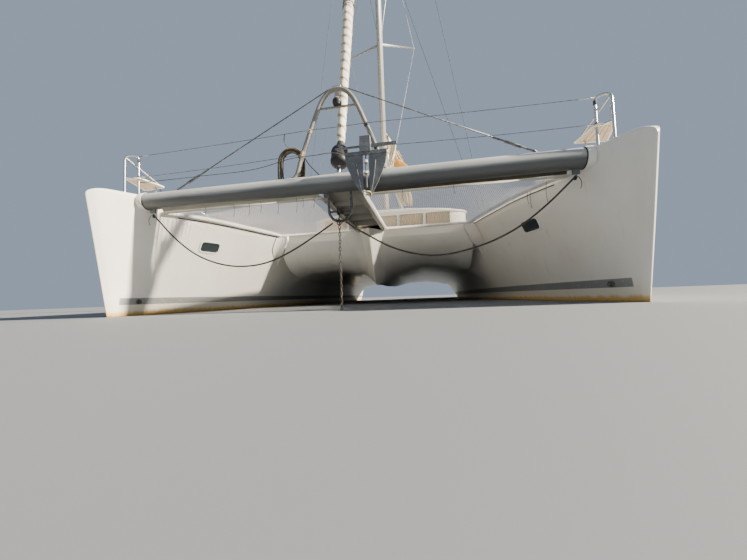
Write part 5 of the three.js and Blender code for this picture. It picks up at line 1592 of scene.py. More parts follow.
rails, tapes, wires, fittings = [], [], [], []
for _, side in SIDES:
    at = lambda post, z: (side * post[0], post[1], z)
    hoop = [at(FORE_POST, 1.590), at(FORE_POST, 2.189), at(AFT_POST, 2.155), at(AFT_POST, 1.590)]
    rails += [swept(rounded(hoop, 0.07, 8), PULPIT_TUBE, 14),
              bar((side * 2.925, -6.385, 2.120), (side * 2.795, -5.965, 1.868), 0.010),
              bar(at(FORE_POST, 1.858), at(AFT_POST, 1.858), 0.010),
              bar((side * 2.880, -5.990, 1.590), (side * 2.860, -5.990, 1.858), 0.011)]
    rails += [turned(at(post, z), at(post, z + 0.045), [(0, 0.034), (0.12, 0.034), (0.2, 0.019), (1, 0.0165)], 20)
              for post, z in ((FORE_POST, 1.612), (AFT_POST, 1.612), (SEAT_POST, 1.590))]
    wires += [hung_wire(at(AFT_POST, high), (side * 3.537, -5.200, low), 0.006)
              for high, low in ((2.120, 2.140), (1.900, 1.840))]
    tapes += [tape(at(FORE_POST, z), (0, 0, 1), PULPIT_TUBE, wide, 0.004)
              for z, wide in ((2.120, 0.05), (1.885, 0.035))]
piece("pulpits", rails, STAINLESS, "steel", replaces=["bow_rails"], angle=50)
piece("pulpit_tape", tapes, DARK_TAPE, "black_casing")

ARCH_FRONT, TOP_X, TOP_Z = BEAM_Y - 0.0325, 0.356, 2.212
for _, side in SIDES:
    for post_z, arch_x, arch_z, sag in ((2.178, TOP_X, TOP_Z, 0.006), (1.885, 0.466, 1.915, 0.012)):
        a, b = np.array((side * FORE_POST[0], -6.2905, post_z)), np.array((side * arch_x, ARCH_FRONT, arch_z))
        way = unit(b - a)
        wires.append(hung_wire(a, b, sag))
        fittings.append(turned(a + way * 0.03, a + way * 0.17, [
            (0, 0.004), (0.05, 0.007), (0.4, 0.007), (0.45, 0.005), (0.9, 0.005), (1, 0.004)], 10))
wires.append(hung_wire((-TOP_X, ARCH_FRONT, TOP_Z), (TOP_X, ARCH_FRONT, TOP_Z), 0.004))
piece("bow_wires", wires, DARK_WIRE, "steel")
piece("wire_fittings", fittings, STAINLESS, "steel")
furling_route = through([(0.085, -6.29, 1.834), (0.02, -6.372, 1.850), (-0.30, -6.37, 1.868),
                         (-0.56, -6.35, 1.874),
                         (-1.03, -6.322, 1.81), (-1.9, -6.31, 1.80), (-2.833, -6.272, 1.82)], 60)
piece("furling_line", [swept(furling_route, 0.0045, 8)], ROPE_DARK, "rope")

# %% Bow seats
SEAT_CORNERS = np.array([(2.755, -5.935), (2.790, -6.320), (2.990, -6.345), (3.140, -5.900)])
SLATS, SLAT_GAP, SLAT_Z, SLAT_THICK, RIM_Z = 5, 0.012, 1.8535, 0.022, 1.864
middle = SEAT_CORNERS.mean(0)
for name, side in SIDES:
    slats = []
    a, b, c, d = SEAT_CORNERS
    for k in range(SLATS):
        s0, s1 = k / SLATS + SLAT_GAP, (k + 1) / SLATS - SLAT_GAP
        quad = np.array([a + (d - a) * s0, b + (c - b) * s0, b + (c - b) * s1, a + (d - a) * s1])
        low = at_height((middle + (quad - middle) * 0.93) * [side, 1], SLAT_Z)
        slats.append(grid(facing(np.stack([low, low + [0, 0, SLAT_THICK]]), side)))
    piece(f"seat_slats_{name}", slats, SEAT_SLAB, "seat_slab", replaces=[f"bow_seat_{name}"], bevel=0.004,
          angle=35)
    rim = middle + (SEAT_CORNERS - middle) * 0.955
    start = (rim[0] + rim[1]) / 2
    rim_path = at_height(np.array([start, *rim[1:], rim[0], start]) * [side, 1], RIM_Z)
    piece(f"seat_rim_{name}", [swept(rounded(rim_path, 0.03), 0.0115, 10)], WHITE_PLASTIC, "seat_slab")

# %% [markdown]
# ## What is let into the hulls
#
# Each inner side has a long low porthole: a dark acrylic pane in a pale frame, with a lip. A towing eye
# stands out of each stem just above the stripe. Each is set to the hull's own curve, so it lies flush from
# any side.

# %% Portholes
def on_side(side, y, z, out=0.0):
    """Points on the hull's inner face at true places, moved out of it by out."""
    y, z = np.broadcast_arrays(np.asarray(y, float), np.asarray(z, float))
    x, near = side_x(y, z), 0.01
    dy = (side_x(y + near, z) - side_x(y - near, z)) / (2 * near)
    dz = (side_x(y, z + near) - side_x(y, z - near)) / (2 * near)
    normal = unit(np.stack([-np.ones_like(x), dy, dz], -1))
    return (np.stack([x, y, z], -1) + normal * out) * [side, 1, 1]


def oblong(low, high, radius, steps=7, dense=0):
    """Outline of a box with rounded corners, all the way round; dense spaces that many points evenly."""
    (y0, z0), (y1, z1) = low, high
    turns = [(y1 - radius, z1 - radius, 0), (y0 + radius, z1 - radius, 90), (y0 + radius, z0 + radius, 180),
             (y1 - radius, z0 + radius, 270)]
    a = np.radians(np.linspace(0, 90, steps))
    line = np.concatenate([np.stack([y + radius * np.cos(a + np.radians(s)),
                                     z + radius * np.sin(a + np.radians(s))],
                                    1) for y, z, s in turns])
    if dense:
        closed = np.vstack([line, line[:1]])
        run = run_of(closed)
        at = np.linspace(0, run[-1], dense, endpoint=False)
        line = np.stack([np.interp(at, run, closed[:, k]) for k in (0, 1)], 1)
    return line


PORTHOLE_LOW, PORTHOLE_HIGH, PORTHOLE_ROUND = np.array((-5.605, 0.952)), np.array((-5.350, 1.078)), 0.030
PORTHOLE_MIDDLE = (PORTHOLE_LOW + PORTHOLE_HIGH) / 2
PANE_SHARES = (0.97, 0.85, 0.7, 0.55, 0.4, 0.25, 0.1, 0.01)
PORTHOLE = [  # name, rings as (beyond the pane's edge, share of the outline, out of the hull), finish, slot
    ("porthole_frames", [(0.030, 1, -0.006), (0.030, 1, 0.006), (0.026, 1, 0.010), (0.009, 1, 0.010),
                         (0.006, 1, 0.006), (0.006, 1, -0.004), (0.030, 1, -0.006)], WHITE_PLASTIC, "gelcoat"),
    ("porthole_seals", [(0.007, 1, -0.004), (0.007, 1, 0.0085), (0.001, 1, 0.0085), (-0.003, 1, 0.004),
                        (-0.003, 1, -0.004), (0.007, 1, -0.004)], BLACK_PLASTIC, "black_casing"),
    ("porthole_panes", [(0, 1, -0.004), (0, 1, 0.005)] + [(0, s, 0.0055) for s in PANE_SHARES], HATCH_GLASS,
     "tinted_glass")]


def porthole_rings(side, levels):
    """Rings on the hull round the porthole, one for each level."""
    for wider, share, out in levels:
        line = oblong(PORTHOLE_LOW - wider, PORTHOLE_HIGH + wider, PORTHOLE_ROUND + wider, 7, 96)
        line = PORTHOLE_MIDDLE + (line - PORTHOLE_MIDDLE) * share
        yield on_side(side, line[:, 0], line[:, 1], out)


for name, levels, finish, slot in PORTHOLE:
    piece(name, [grid(facing(np.array([*porthole_rings(side, levels)]), -side), ends=slot == "tinted_glass")
                 for _, side in SIDES], finish, slot)

# %% Towing eyes, cleats, hinges and skin fittings
CLEATS = [(-5.600, 0.0, 1.500), (5.120, 0.380, 1.420)]  # y, out from the hull's middle, deck height
CLEAT_HALF, CLEAT_HIGH, CLEAT_ARM = 0.118, 0.072, 0.0135
arm = np.linspace(-1, 1, 21)
eyes, cleats, collars = [], [], []
for _, side in SIDES:
    foot = on_side(side, -6.210, 0.188)
    eyes += [ring(foot + [-side * 0.022, 0, 0], (0, 1, 0.2), 0.019, 0.0065, stretch=1.15),
             turned(foot + [side * 0.02, 0, 0], foot + [-side * 0.010, 0, 0], [
                 (0, 0.034), (0.75, 0.034), (0.95, 0.030), (1, 0.020)])]
    for y, out, deck in CLEATS:
        x, top = side * (HULL_X + out), deck + CLEAT_HIGH
        line = np.stack([np.full(21, x), np.linspace(y - CLEAT_HALF, y + CLEAT_HALF, 21),
                         top + 0.010 * arm ** 2], 1)
        cleats.append(swept(line, CLEAT_ARM * np.sqrt(np.clip(1 - (arm * 0.97) ** 6, 0, 1))))
        cleats += [turned((x, y + way, deck - 0.03), (x, y + way, top), [
            (0, 0.026), (0.30, 0.026), (0.40, 0.018), (0.60, 0.0125), (1, CLEAT_ARM)], 16)
                   for way in (-0.034, 0.034)]
    for y, z in ((-3.0, 0.42), (-2.6, 0.42), (0.4, 0.36)):
        rim = on_side(side, y, z)
        collars.append(turned(rim + [side * 0.01, 0, 0], rim + [-side * 0.007, 0, 0], [
            (0, 0.022), (0.7, 0.024), (1, 0.018)], 20))
for x in (STEPS_X - 0.208, STEPS_X + 0.208):
    cleats.append(block((x - 0.016, STERN - 0.012, 0.307), (x + 0.016, STERN + 0.042, 0.333)))
piece("towing_eyes", eyes, DARK_STEEL, "steel")
piece("deck_cleats", cleats, STAINLESS, "steel", angle=50)
piece("skin_fittings", collars, WHITE_PLASTIC, "gelcoat")

# %% [markdown]
# ## The lazy bag and the loose cloth
#
# The mainsail lies on the boom in a long canvas bag, a lofted shell that sags between its lines. From its
# fore end a loose cloth hangs in folds to the roof, where it is tied. Sun shines through one fold and makes
# it orange, and that orange is painted into the fold's cloth as painted light. The folds are sines whose depth
# grows downward, which hang truer here than a flat plate that is shaken.

# %% Lazy bag
BAG_SECTIONS = np.array([  # y, half width, top
    (-1.375, 0.060, 4.62), (-1.340, 0.108, 4.800), (-0.90, 0.170, 4.850), (0.2, 0.178, 4.815),
    (1.20, 0.175, 4.760),
    (2.2, 0.156, 4.690), (3.20, 0.130, 4.600), (4.15, 0.076, 4.440), (4.245, 0.040, 4.36)])
BAG_LOW, MOUTH_Y = 4.2653, -1.356
BAG_MOUTH = np.array([(0.072, 4.285), (0.106, 4.38), (0.112, 4.52), (0.098, 4.66), (0.060, 4.765), (0.0, 4.812)])


def bag_shell(y):
    """An oval whose sides bulge low down, crimped at each lazy jack and rippled along by two sines."""
    half, top = [np.interp(y, BAG_SECTIONS[:, 0], BAG_SECTIONS[:, k])[:, None] for k in (1, 2)]
    y = y[:, None]
    a = np.linspace(0, 2 * np.pi, 44, endpoint=False)[None, :]
    jack = 0.10 * np.exp(-((((y + 0.3) % 1.1) - 0.55) / 0.07) ** 2)
    ripple = (0.012 * np.sin(9.3 * y + 2 * np.sin(a)) * np.sin(2 * a + 3.1 * y)
              + 0.007 * np.sin(23 * y + 5 * a))
    up = np.sin(a)
    x = half * np.sign(np.cos(a)) * np.abs(np.cos(a)) ** 0.75 * (1 - 0.22 * np.clip(up, 0, 1) ** 2 - jack)
    z = BAG_LOW + (top - BAG_LOW) * (0.5 + 0.5 * np.sign(up) * np.abs(up) ** 0.8) - 0.03 * jack * (up > 0)
    return np.stack([x + ripple * np.cos(a), y + 0 * x, np.maximum(z + ripple * np.clip(up, 0, 1), BAG_LOW)], -1)


places = np.concatenate([np.linspace(-1.375, -1.33, 5), np.linspace(-1.30, 4.15, 150),
                         np.linspace(4.17, 4.245, 4)])
bag = piece("sagging_bag", [grid(bag_shell(places)[:, ::-1], across=np.linspace(0, 1.3, 45), along=places)],
            BAG_CANVAS, "sailcloth", "boom_and_bag", replaces=["lazy_bag"])
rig.padded(bag, fill=0.7)
y = np.linspace(-1.25, 4.10, 60)
zip_line = np.stack([0.012 * np.sin(6 * y), y, np.interp(y, BAG_SECTIONS[:, 0], BAG_SECTIONS[:, 2]) - 0.006], 1)
piece("bag_zip", [swept(zip_line, 0.016, 8, 0.35)], DARK_TAPE, "black_casing", "boom_and_bag")
mouth = np.vstack([BAG_MOUTH * [-1, 1], BAG_MOUTH[-2::-1]])
mouth_path = through(np.column_stack([mouth[:, 0], np.full(len(mouth), MOUTH_Y), mouth[:, 1]]), 60)
piece("bag_mouth_hem", [swept(mouth_path, 0.014, 10, 0.6)], BROWN_HEM, "sailcloth", "boom_and_bag")


# %% Hanging cloth
def folded(edges, folds, depth, rows=90, columns=110, shear=0.0):
    """A sheet between two edges: its folds are sharpened sines across it, and their depth follows the height.

    edges lists, for some heights, the height, the x of both edges and the y of the sheet.
    """
    edges = np.array(edges)
    t = np.linspace(0, 1, rows)[:, None]
    s = np.linspace(0, 1, columns)[None, :]
    z = edges[0, 0] + (edges[-1, 0] - edges[0, 0]) * t
    start, stop, y = [np.interp(-z, -edges[:, 0], edges[:, k]) for k in (1, 2, 3)]
    phase = 2 * np.pi * folds * (s + 0.06 * np.sin(5 * t + 2)) + shear * t
    wave = np.sin(phase) + 0.35 * np.sin(2.3 * phase + 1.0 + 3 * t)
    amount = depth * (0.35 + 0.65 * np.sin(np.pi * np.clip(t * 1.15, 0, 1)) + 0.25 * t)
    x = start + (stop - start) * (s + 0.35 / folds * np.cos(phase) / (2 * np.pi) * 1.6)
    front = np.stack([x, y + amount * wave, z + 0 * s + 0.012 * np.cos(phase) * t], -1)
    shell = thin(front, [0, 0.0025, 0])
    return [grid(shell[::-1], across=np.linspace(0, 1.1, 2 * columns + 1), along=np.linspace(1.8, 0, rows))]


main_folds = folded([
    (4.440, 0.085, 0.335, -0.900), (4.20, 0.085, 0.455, -0.901), (3.960, 0.100, 0.560, -0.903),
    (3.60, 0.150, 0.600, -0.906), (3.290, 0.200, 0.630, -0.909), (3.02, 0.285, 0.695, -0.911),
    (2.765, 0.385, 0.715, -0.915)], 4.5, 0.024)
flap_folds = folded([
    (3.98, 0.300, 0.335, -0.955), (3.74, 0.330, 0.500, -0.965), (3.46, 0.300, 0.655, -0.975),
    (3.38, 0.290, 0.690, -0.975)], 1.5, 0.010, 40, 50)
glow_folds = folded([
    (4.200, 0.262, 0.300, -0.958), (4.07, 0.222, 0.425, -0.962), (3.93, 0.170, 0.575, -0.964),
    (3.80, 0.215, 0.590, -0.962)], 1.2, 0.006, 30, 40)
bunch_folds = folded([
    (4.470, 0.112, 0.300, -1.388), (4.25, 0.104, 0.298, -1.390), (4.03, 0.098, 0.258, -1.390),
    (3.90, 0.085, 0.236, -1.390), (3.81, 0.096, 0.219, -1.388)], 2.6, 0.016, 60, 60, shear=9.0)
main = piece("hanging_folds", main_folds, SUNLIT, "sailcloth", "boom_and_bag", replaces=["hanging_cloth"])
flap = piece("folded_flap", flap_folds, SUNLIT, "sailcloth", "boom_and_bag")
# the inner fold's orange is painted light, not a dye
glow = piece("glowing_inner_fold", glow_folds, PAINTED_GLOW, "sailcloth", "boom_and_bag")
bunch = piece("crumpled_bunch", bunch_folds, SUNLIT, "sailcloth", "boom_and_bag")
ties = piece("cloth_ties", [binding((0.555, -0.915, 2.80), (1, 0, 0.1), 0.022, 4, 0.11, 0.004)], ROPE_DARK,
             "rope", "boom_and_bag")
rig.sheet(main, flat=(0.62, 1.70), held="hung", area=0.80, rests_on=["sagging_bag"], with_pieces=[ties])
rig.sheet(flap, flat=(0.42, 0.62), held="hung", area=0.17, rests_on=["hanging_folds"])
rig.sheet(glow, flat=(0.32, 0.37), held="hung", area=0.10, rests_on=["hanging_folds"])
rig.sheet(bunch, flat=(0.24, 0.78), held="gathered", area=0.16, rests_on=["sagging_bag"])

# %% [markdown]
# ## On the coachroof
#
# The roof carries the mast step, two grab rails, a hatch, and the winches and clutches that work the
# halyards. The windows are set in rubber, and below them a moulded step runs round the house.

# %% Roof fittings
ROOF_FRONT, ROOF_Z, ROOF_SLOPE, ROOF_EDGE, ROOF_CROWN, ROOF_HALF = -2.080, 2.240, 0.085, 0.055, 0.080, 2.150
MAST_Y, LINES_FROM, LINES_TO, CLUTCH_Y = -1.700, -1.35, 1.31, 1.4
CLUTCH_X, LINE_START, LINE_STEP = np.linspace(0.92, 0.44, 6), 0.10, 0.03


def eaves(y):
    """Height of the roof's edge line, which rises aft."""
    return ROOF_Z + ROOF_SLOPE * (y - ROOF_FRONT)


def roof_top(x, y):
    """Height of the roof's crown: above its edge line, and falling by the square of the share across."""
    return eaves(y) + ROOF_EDGE + ROOF_CROWN * (1 - (x / ROOF_HALF) ** 2)


def on_roof(x, y, up):
    """A line in plan, laid on the roof and lifted by up."""
    return np.stack([x, y, roof_top(x, y) + up], 1)


rails, winches, clutches, lines = [], [], [], []
for side in (-1, 1):
    y, arc = np.linspace(-1.35, 2.0, 40), np.sin(np.linspace(0, np.pi, 40))
    x = side * (1.52 + 0.02 * arc)
    rails.append(swept(on_roof(x, y, 0.004 + 0.058 * np.clip(arc * 6, 0, 1)), 0.0125))
    rails += [bar(*on_roof(x[[k, k]], y[[k, k]], [-0.01, 0.06]), 0.010) for k in (8, 16, 24, 32)]
for x, y in ((-0.62, 1.75), (0.62, 1.75), (-0.34, -1.22), (0.34, -1.22)):
    z = roof_top(x, y) - 0.012
    winches.append(turned((x, y, z), (x, y, z + 0.135), [
        (0, 0.064), (0.05, 0.066), (0.12, 0.052), (0.30, 0.041), (0.55, 0.039), (0.68, 0.044), (0.74, 0.054),
        (0.88, 0.054), (0.93, 0.046), (0.97, 0.030), (1, 0.016)], 28))
for x in (*-CLUTCH_X, *CLUTCH_X[::-1]):
    z = roof_top(x, CLUTCH_Y)
    clutches.append(block((x - 0.020, 1.30, z - 0.006), (x + 0.020, 1.46, z + 0.058), 0.7))
y = np.linspace(LINES_FROM, LINES_TO, 30)
share = (y - LINES_FROM) / (LINES_TO - LINES_FROM)
for k, x in enumerate(CLUTCH_X):
    spread = LINE_START + LINE_STEP * k + (x - LINE_START - LINE_STEP * k) * share
    lines += [swept(on_roof(side * spread, y, 0.020), 0.005, 6) for side in (-1, 1)]
piece("roof_grab_rails", rails, STAINLESS, "steel")
piece("winches", winches, STAINLESS, "steel", angle=45)
piece("rope_clutches", clutches, BLACK_PLASTIC, "black_casing", bevel=0.005)
piece("roof_lines", lines, ROPE_WHITE, "rope")
piece("mast_collar", [block((-0.105, MAST_Y - 0.175, 2.4255), (0.105, MAST_Y + 0.175, 2.462), 0.96)], SPAR_ALLOY,
      "alloy", bevel=0.008)

HATCH_LOW, HATCH_HIGH = np.array((-0.55, -0.30)), np.array((0.05, 0.30))  # y and x of two corners
FRAME_LEVELS = ((0, -0.01), (0, 0.020), (0.012, 0.030), (0.030, 0.030), (0.034, 0.024), (0, -0.01))
PANE_LEVELS = ((1, 0), (1, 0.024), (0.97, 0.0275), (0.7, 0.0285), (0.4, 0.0285), (0.1, 0.0285))
rings = [on_roof(*oblong(HATCH_LOW + inset, HATCH_HIGH - inset, 0.06 - inset * 0.5).T[::-1], up)
         for inset, up in FRAME_LEVELS]
piece("roof_hatch_frame", [grid(np.array(rings)[:, ::-1], ends=False)], SPAR_ALLOY, "alloy")
outline = oblong(HATCH_LOW + 0.032, HATCH_HIGH - 0.032, 0.045)
middle = outline.mean(0)
rings = [on_roof(*(middle + (outline - middle) * share).T[::-1], up) for share, up in PANE_LEVELS]
piece("roof_hatch_pane", [grid(np.array(rings)[:, ::-1])], HATCH_GLASS, "tinted_glass")

# %% Window seals and the moulded step below them
HOUSE_HALF, HOUSE_FRONT, HOUSE_CORNER, HOUSE_AFT = 2.100, -1.950, 0.650, 2.660
MIDDLE_HALF, CORNER_Y = HOUSE_HALF - HOUSE_CORNER, HOUSE_FRONT + HOUSE_CORNER
WINDOW_LOW, WINDOW_HIGH, WINDOW_ROUND, SEAL = 1.930, 2.225, 0.02, 0.008


def house_line(inset, count=24):
    """The house's outline in plan from port quarter round the front to starboard, drawn in by inset."""
    r = HOUSE_CORNER - inset
    a = np.radians(np.linspace(0, 90, count))
    port = np.stack([MIDDLE_HALF + r * np.cos(a), CORNER_Y - r * np.sin(a)], 1)
    aft = [[HOUSE_HALF - inset, HOUSE_AFT - 0.02]]
    return np.concatenate([aft, port, port[::-1] * [-1, 1], np.array(aft) * [-1, 1]])


piece("house_moulding", [swept(at_height(house_line(-0.004), 1.840), 0.020, 12, 0.55)], DECK_GELCOAT, "gelcoat")
piece("house_foot", [swept(at_height(house_line(-0.002), 1.428), 0.022)], DECK_GELCOAT, "gelcoat")
brows = []
for inset, radius, wider in ((-0.004, 0.026, 1.15), (0.050, 0.021, 2.8)):
    line = house_line(inset, 30)
    brows.append(swept(at_height(line, eaves(line[:, 1]) + 0.008), radius, 14, wider))
piece("roof_brow", brows, DECK_GELCOAT, "gelcoat")
window_seals = []
for x in (-1.340, -0.670, 0.0, 0.670, 1.340):
    across, z = oblong((x - 0.290, WINDOW_LOW), (x + 0.290, WINDOW_HIGH), WINDOW_ROUND, 7, 80).T
    past = np.clip(np.abs(across) - MIDDLE_HALF, 0, None)
    y = CORNER_Y - np.sqrt(HOUSE_CORNER ** 2 - past ** 2) - 0.001
    window_seals.append(bead(np.stack([across, y, z], 1), SEAL))
for y in (-0.750, 0.350, 1.450):
    for side in (-1, 1):
        along, z = oblong((y - 0.470, WINDOW_LOW), (y + 0.470, WINDOW_HIGH), WINDOW_ROUND).T
        window_seals.append(bead(np.stack([np.full(len(z), side * (HOUSE_HALF + 0.001)), along, z], 1), SEAL))
piece("window_seals", window_seals, BLACK_PLASTIC, "black_casing")
x, z = oblong((0.045, 1.285), (0.815, 2.415), 0.03).T
piece("aft_window_frame", [bead(np.stack([x, np.full(len(z), HOUSE_AFT + 0.012), z], 1), 0.018, 8, 0.7)],
      SPAR_ALLOY, "alloy")


# %% Non-skid panels on the side decks
def nonskid():
    """Moulded diamonds: two sets of ridges at right angles, over grey-cream gelcoat with trodden-in dirt."""
    paint = Paint("nonskid_gelcoat")
    place = paint.place()
    x, y, _ = paint.split(place)
    turn = 2 * math.pi / 0.008
    ridges = ((x + y) * turn).wave() * ((x - y) * turn).wave()
    dirt = paint.noise(place, 2.0, 4.0, 0.6)
    colour = paint.mix((0.56, 0.54, 0.48), (0.66, 0.64, 0.58), dirt.rise(0.35, 0.7))
    colour = paint.mix(colour, (0.46, 0.44, 0.38), ridges * 0.35)
    return paint.finish(colour, 0.75, paint.bump(ridges, 0.0012, 0.5))


NONSKID = nonskid()
PANELS = ((-5.0, -3.9), (-3.75, -2.7), (-1.9, -0.95), (-0.35, 1.4), (1.55, 3.4), (3.55, 4.95))  # from y to y
DECK_EDGE, HOUSE_START, HOUSE_SIDE = 0.045, -1.95, 0.72
panels = []
for side in (-1, 1):
    for start, stop in PANELS:
        y = np.linspace(start, stop, 16)[:, None]
        s = np.linspace(-1, 1, 9)[None, :]
        top_out, top_in = faired("outer_top", y), inner_top(y)
        outer, inner = outer_u(y, top_out - DECK_EDGE) - DECK_EDGE, inner_u(y, top_in - DECK_EDGE) - DECK_EDGE
        inside = np.where(y > HOUSE_START, np.minimum(inner - 0.06, HOUSE_SIDE), inner - 0.06)
        u = (outer - 0.07) + (-inside - outer + 0.07) * (s + 1) / 2
        z = top_out + (top_in - top_out) * (outer - u) / (outer + inner) + 0.0035
        points = np.stack([side * (HULL_X + u), raked(y + 0 * u, z), z], -1)
        panels.append(grid(facing(thin(points, [0, 0, -0.012]), -side)))
piece("nonskid_panels", panels, NONSKID, "gelcoat")

# %% [markdown]
# ## Cushions
#
# A boat cushion is foam in a sewn cover: its top is crowned, its sides pull in between the corners, and a
# piped seam runs round it. One pad is blown up with a cloth simulation, which makes all of that by itself,
# and then the same pad is stretched to each seat, as a sailmaker sews them all from one pattern.

# %% One pad, blown up
PAD_SIZE, PAD_CAP, PAD_FRAMES = np.array((0.62, 0.56, 0.090)), 0.022, 20


def settled(thing):
    """The mesh that the modifiers make, as points and a list of faces; the object is taken away."""
    bpy.context.view_layer.update()
    result = thing.evaluated_get(bpy.context.evaluated_depsgraph_get()).to_mesh()
    points = np.empty(len(result.vertices) * 3)
    result.vertices.foreach_get("co", points)
    faces = [list(p.vertices) for p in result.polygons]
    bpy.data.objects.remove(thing)
    return points.reshape(-1, 3), faces


def inflated_pad():
    """Remesh at 9 mm, inflate with Cloth without gravity, and cap how far a point may go."""
    slab = plain("pad_slab", *block(-PAD_SIZE / 2, PAD_SIZE / 2)[:2])
    edge = slab.modifiers.new("edge", "BEVEL")
    edge.width, edge.segments = 0.022, 3
    mesher = slab.modifiers.new("mesher", "REMESH")
    mesher.mode, mesher.voxel_size = "VOXEL", 0.009
    before, faces = settled(slab)
    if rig.quick():
        shape = before / (PAD_SIZE / 2)
        puff = np.clip(1 - shape[:, :1] ** 2, 0, 1) * np.clip(1 - shape[:, 1:2] ** 2, 0, 1)
        return before + np.column_stack([0 * puff, 0 * puff, np.sign(before[:, 2:]) * 0.018 * puff]), faces
    cover = plain("pad_cloth", before, faces)
    run = cover.modifiers.new("cloth", "CLOTH")
    run.settings.quality = 6
    run.settings.use_pressure, run.settings.uniform_pressure_force = True, 4.0
    run.settings.effector_weights.gravity = 0.0
    run.point_cache.frame_start, run.point_cache.frame_end = 1, PAD_FRAMES
    for frame_number in range(1, PAD_FRAMES + 1):
        bpy.context.scene.frame_set(frame_number)
    after, _ = settled(cover)
    bpy.context.scene.frame_set(1)
    move = after - before
    far = np.linalg.norm(move, axis=1, keepdims=True)
    print("pad inflated", len(before), "points, furthest", round(float(far.max()), 4), "m")
    return before + move * np.minimum(1, PAD_CAP / np.maximum(far, 1e-9)), faces


PAD_POINTS, PAD_FACES = inflated_pad()
PAD_LOW, PAD_HIGH = PAD_POINTS.min(0), PAD_POINTS.max(0)


# %% Pads on the seats
def pad_at(low, high):
    """The pad's points stretched so that its box becomes the seat's box, with its cloth scaled in metres."""
    points = low + (PAD_POINTS - PAD_LOW) / (PAD_HIGH - PAD_LOW) * (np.array(high) - low)
    corners = points[[i for face in PAD_FACES for i in face]]
    return points, PAD_FACES, corners[:, :2] + corners[:, 2:] * 0.7


def piping(low, high):
    """The seam round a pad at half its height."""
    outline = oblong((low[0] + 0.004, low[1] + 0.004), (high[0] - 0.004, high[1] - 0.004), 0.05)
    return bead(at_height(outline, (low[2] + high[2]) / 2), 0.0045)


def cushions(name, boxes):
    """One padded piece of several pads; the flat ones have piping."""
    made = piece(name, [pad_at(low, high) for low, high in boxes], CUSHION_CLOTH, "upholstery")
    seams = [piping(low, high) for low, high in boxes if high[2] - low[2] < 0.2]
    if seams:
        piece(name + "_piping", seams, WEBBING_WHITE, "upholstery")
    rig.padded(made, fill=0.75)


def in_row(count, axis, low, high, gap=0.003):
    """The box between two corners, parted along an axis into count boxes with a gap at each end."""
    edges = np.linspace(low[axis], high[axis], count + 1)
    boxes = []
    for start, stop in zip(edges, edges[1:]):
        a, b = list(low), list(high)
        a[axis], b[axis] = start + gap, stop - gap
        boxes.append((a, b))
    return boxes


FLOOR, SEAT_Z, SEAT_TOP, BACK_LOW, BACK_TOP = 0.8003, 1.131, 1.229, 1.150, 1.399
piece("cockpit_bench", [block((-1.690, 3.000, FLOOR), (-1.110, 4.700, 1.130)),
                        block((-1.690, 3.000, 1.120), (-1.650, 4.700, 1.395))], DECK_GELCOAT, "gelcoat",
      replaces=["cockpit_settee"], bevel=0.02)
cushions("cockpit_cushions", in_row(3, 1, (-1.640, 3.01, SEAT_Z), (-1.102, 4.69, SEAT_TOP)))
cushions("cockpit_backs", in_row(3, 1, (-1.648, 3.01, BACK_LOW), (-1.562, 4.69, BACK_TOP)))
piece("saloon_bench", [block((0.300, -1.600, FLOOR), (1.700, -1.010, 1.130)),
                       block((1.110, -1.100, FLOOR), (1.700, 0.900, 1.130)),
                       block((0.300, -1.748, FLOOR), (1.700, -1.700, 1.398))], JOINERY, "joinery",
      replaces=["saloon_settee"], bevel=0.01)
cushions("saloon_cushions", in_row(2, 0, (0.305, -1.600, SEAT_Z), (1.695, -1.003, SEAT_TOP))
         + in_row(3, 1, (1.103, -0.995, SEAT_Z), (1.697, 0.895, SEAT_TOP)))
cushions("saloon_backs", in_row(2, 0, (0.305, -1.698, BACK_LOW), (1.695, -1.605, BACK_TOP)))
piece("helm_bench", [block((0.870, 3.900, FLOOR), (1.630, 4.350, 1.340)),
                     block((0.870, 4.340, FLOOR), (1.630, 4.399, 1.780))], DECK_GELCOAT, "gelcoat",
      replaces=["helm_seat"], bevel=0.025)
cushions("helm_cushion", [((0.880, 3.905, 1.341), (1.620, 4.290, 1.439))])
cushions("helm_back", [((0.885, 4.296, 1.470), (1.615, 4.338, 1.790))])

# %% [markdown]
# ## Wheel, tables and galley
#
# The wheel is a tube rim on spokes with a cord whipping over the top. Tables have a rounded edge band, and
# the galley a pale worktop and fronts that part its doors.

# %% Steering wheel and furniture
HELM, WHEEL_RADIUS, SPOKES = np.array([1.250, 3.060, 1.780]), 0.380, 6
HUB = [(-0.020, 0.040), (-0.018, 0.050), (-0.010, 0.055), (0.010, 0.055), (0.018, 0.050), (0.020, 0.040)]
HUB_BORE, WHIP_TURNS = 0.0246, 46


def round_helm(angle):
    """The way from the hub at an angle in the wheel's plane."""
    return np.cos(angle) * np.array([1, 0, 0]) + np.sin(angle) * np.array([0, 0, 1.0])


def sleeve(centre, profile, bore, sides=32):
    """A bored hub: its outside by profile (place, radius), then back through the bore."""
    profile = [*profile, (profile[-1][0], bore), (profile[0][0], bore), profile[0]]
    around = round_helm(np.linspace(0, 2 * np.pi, sides, endpoint=False)[:, None])
    return grid(np.array([centre + [0, p, 0] + around * r for p, r in profile])[:, ::-1], ends=False)


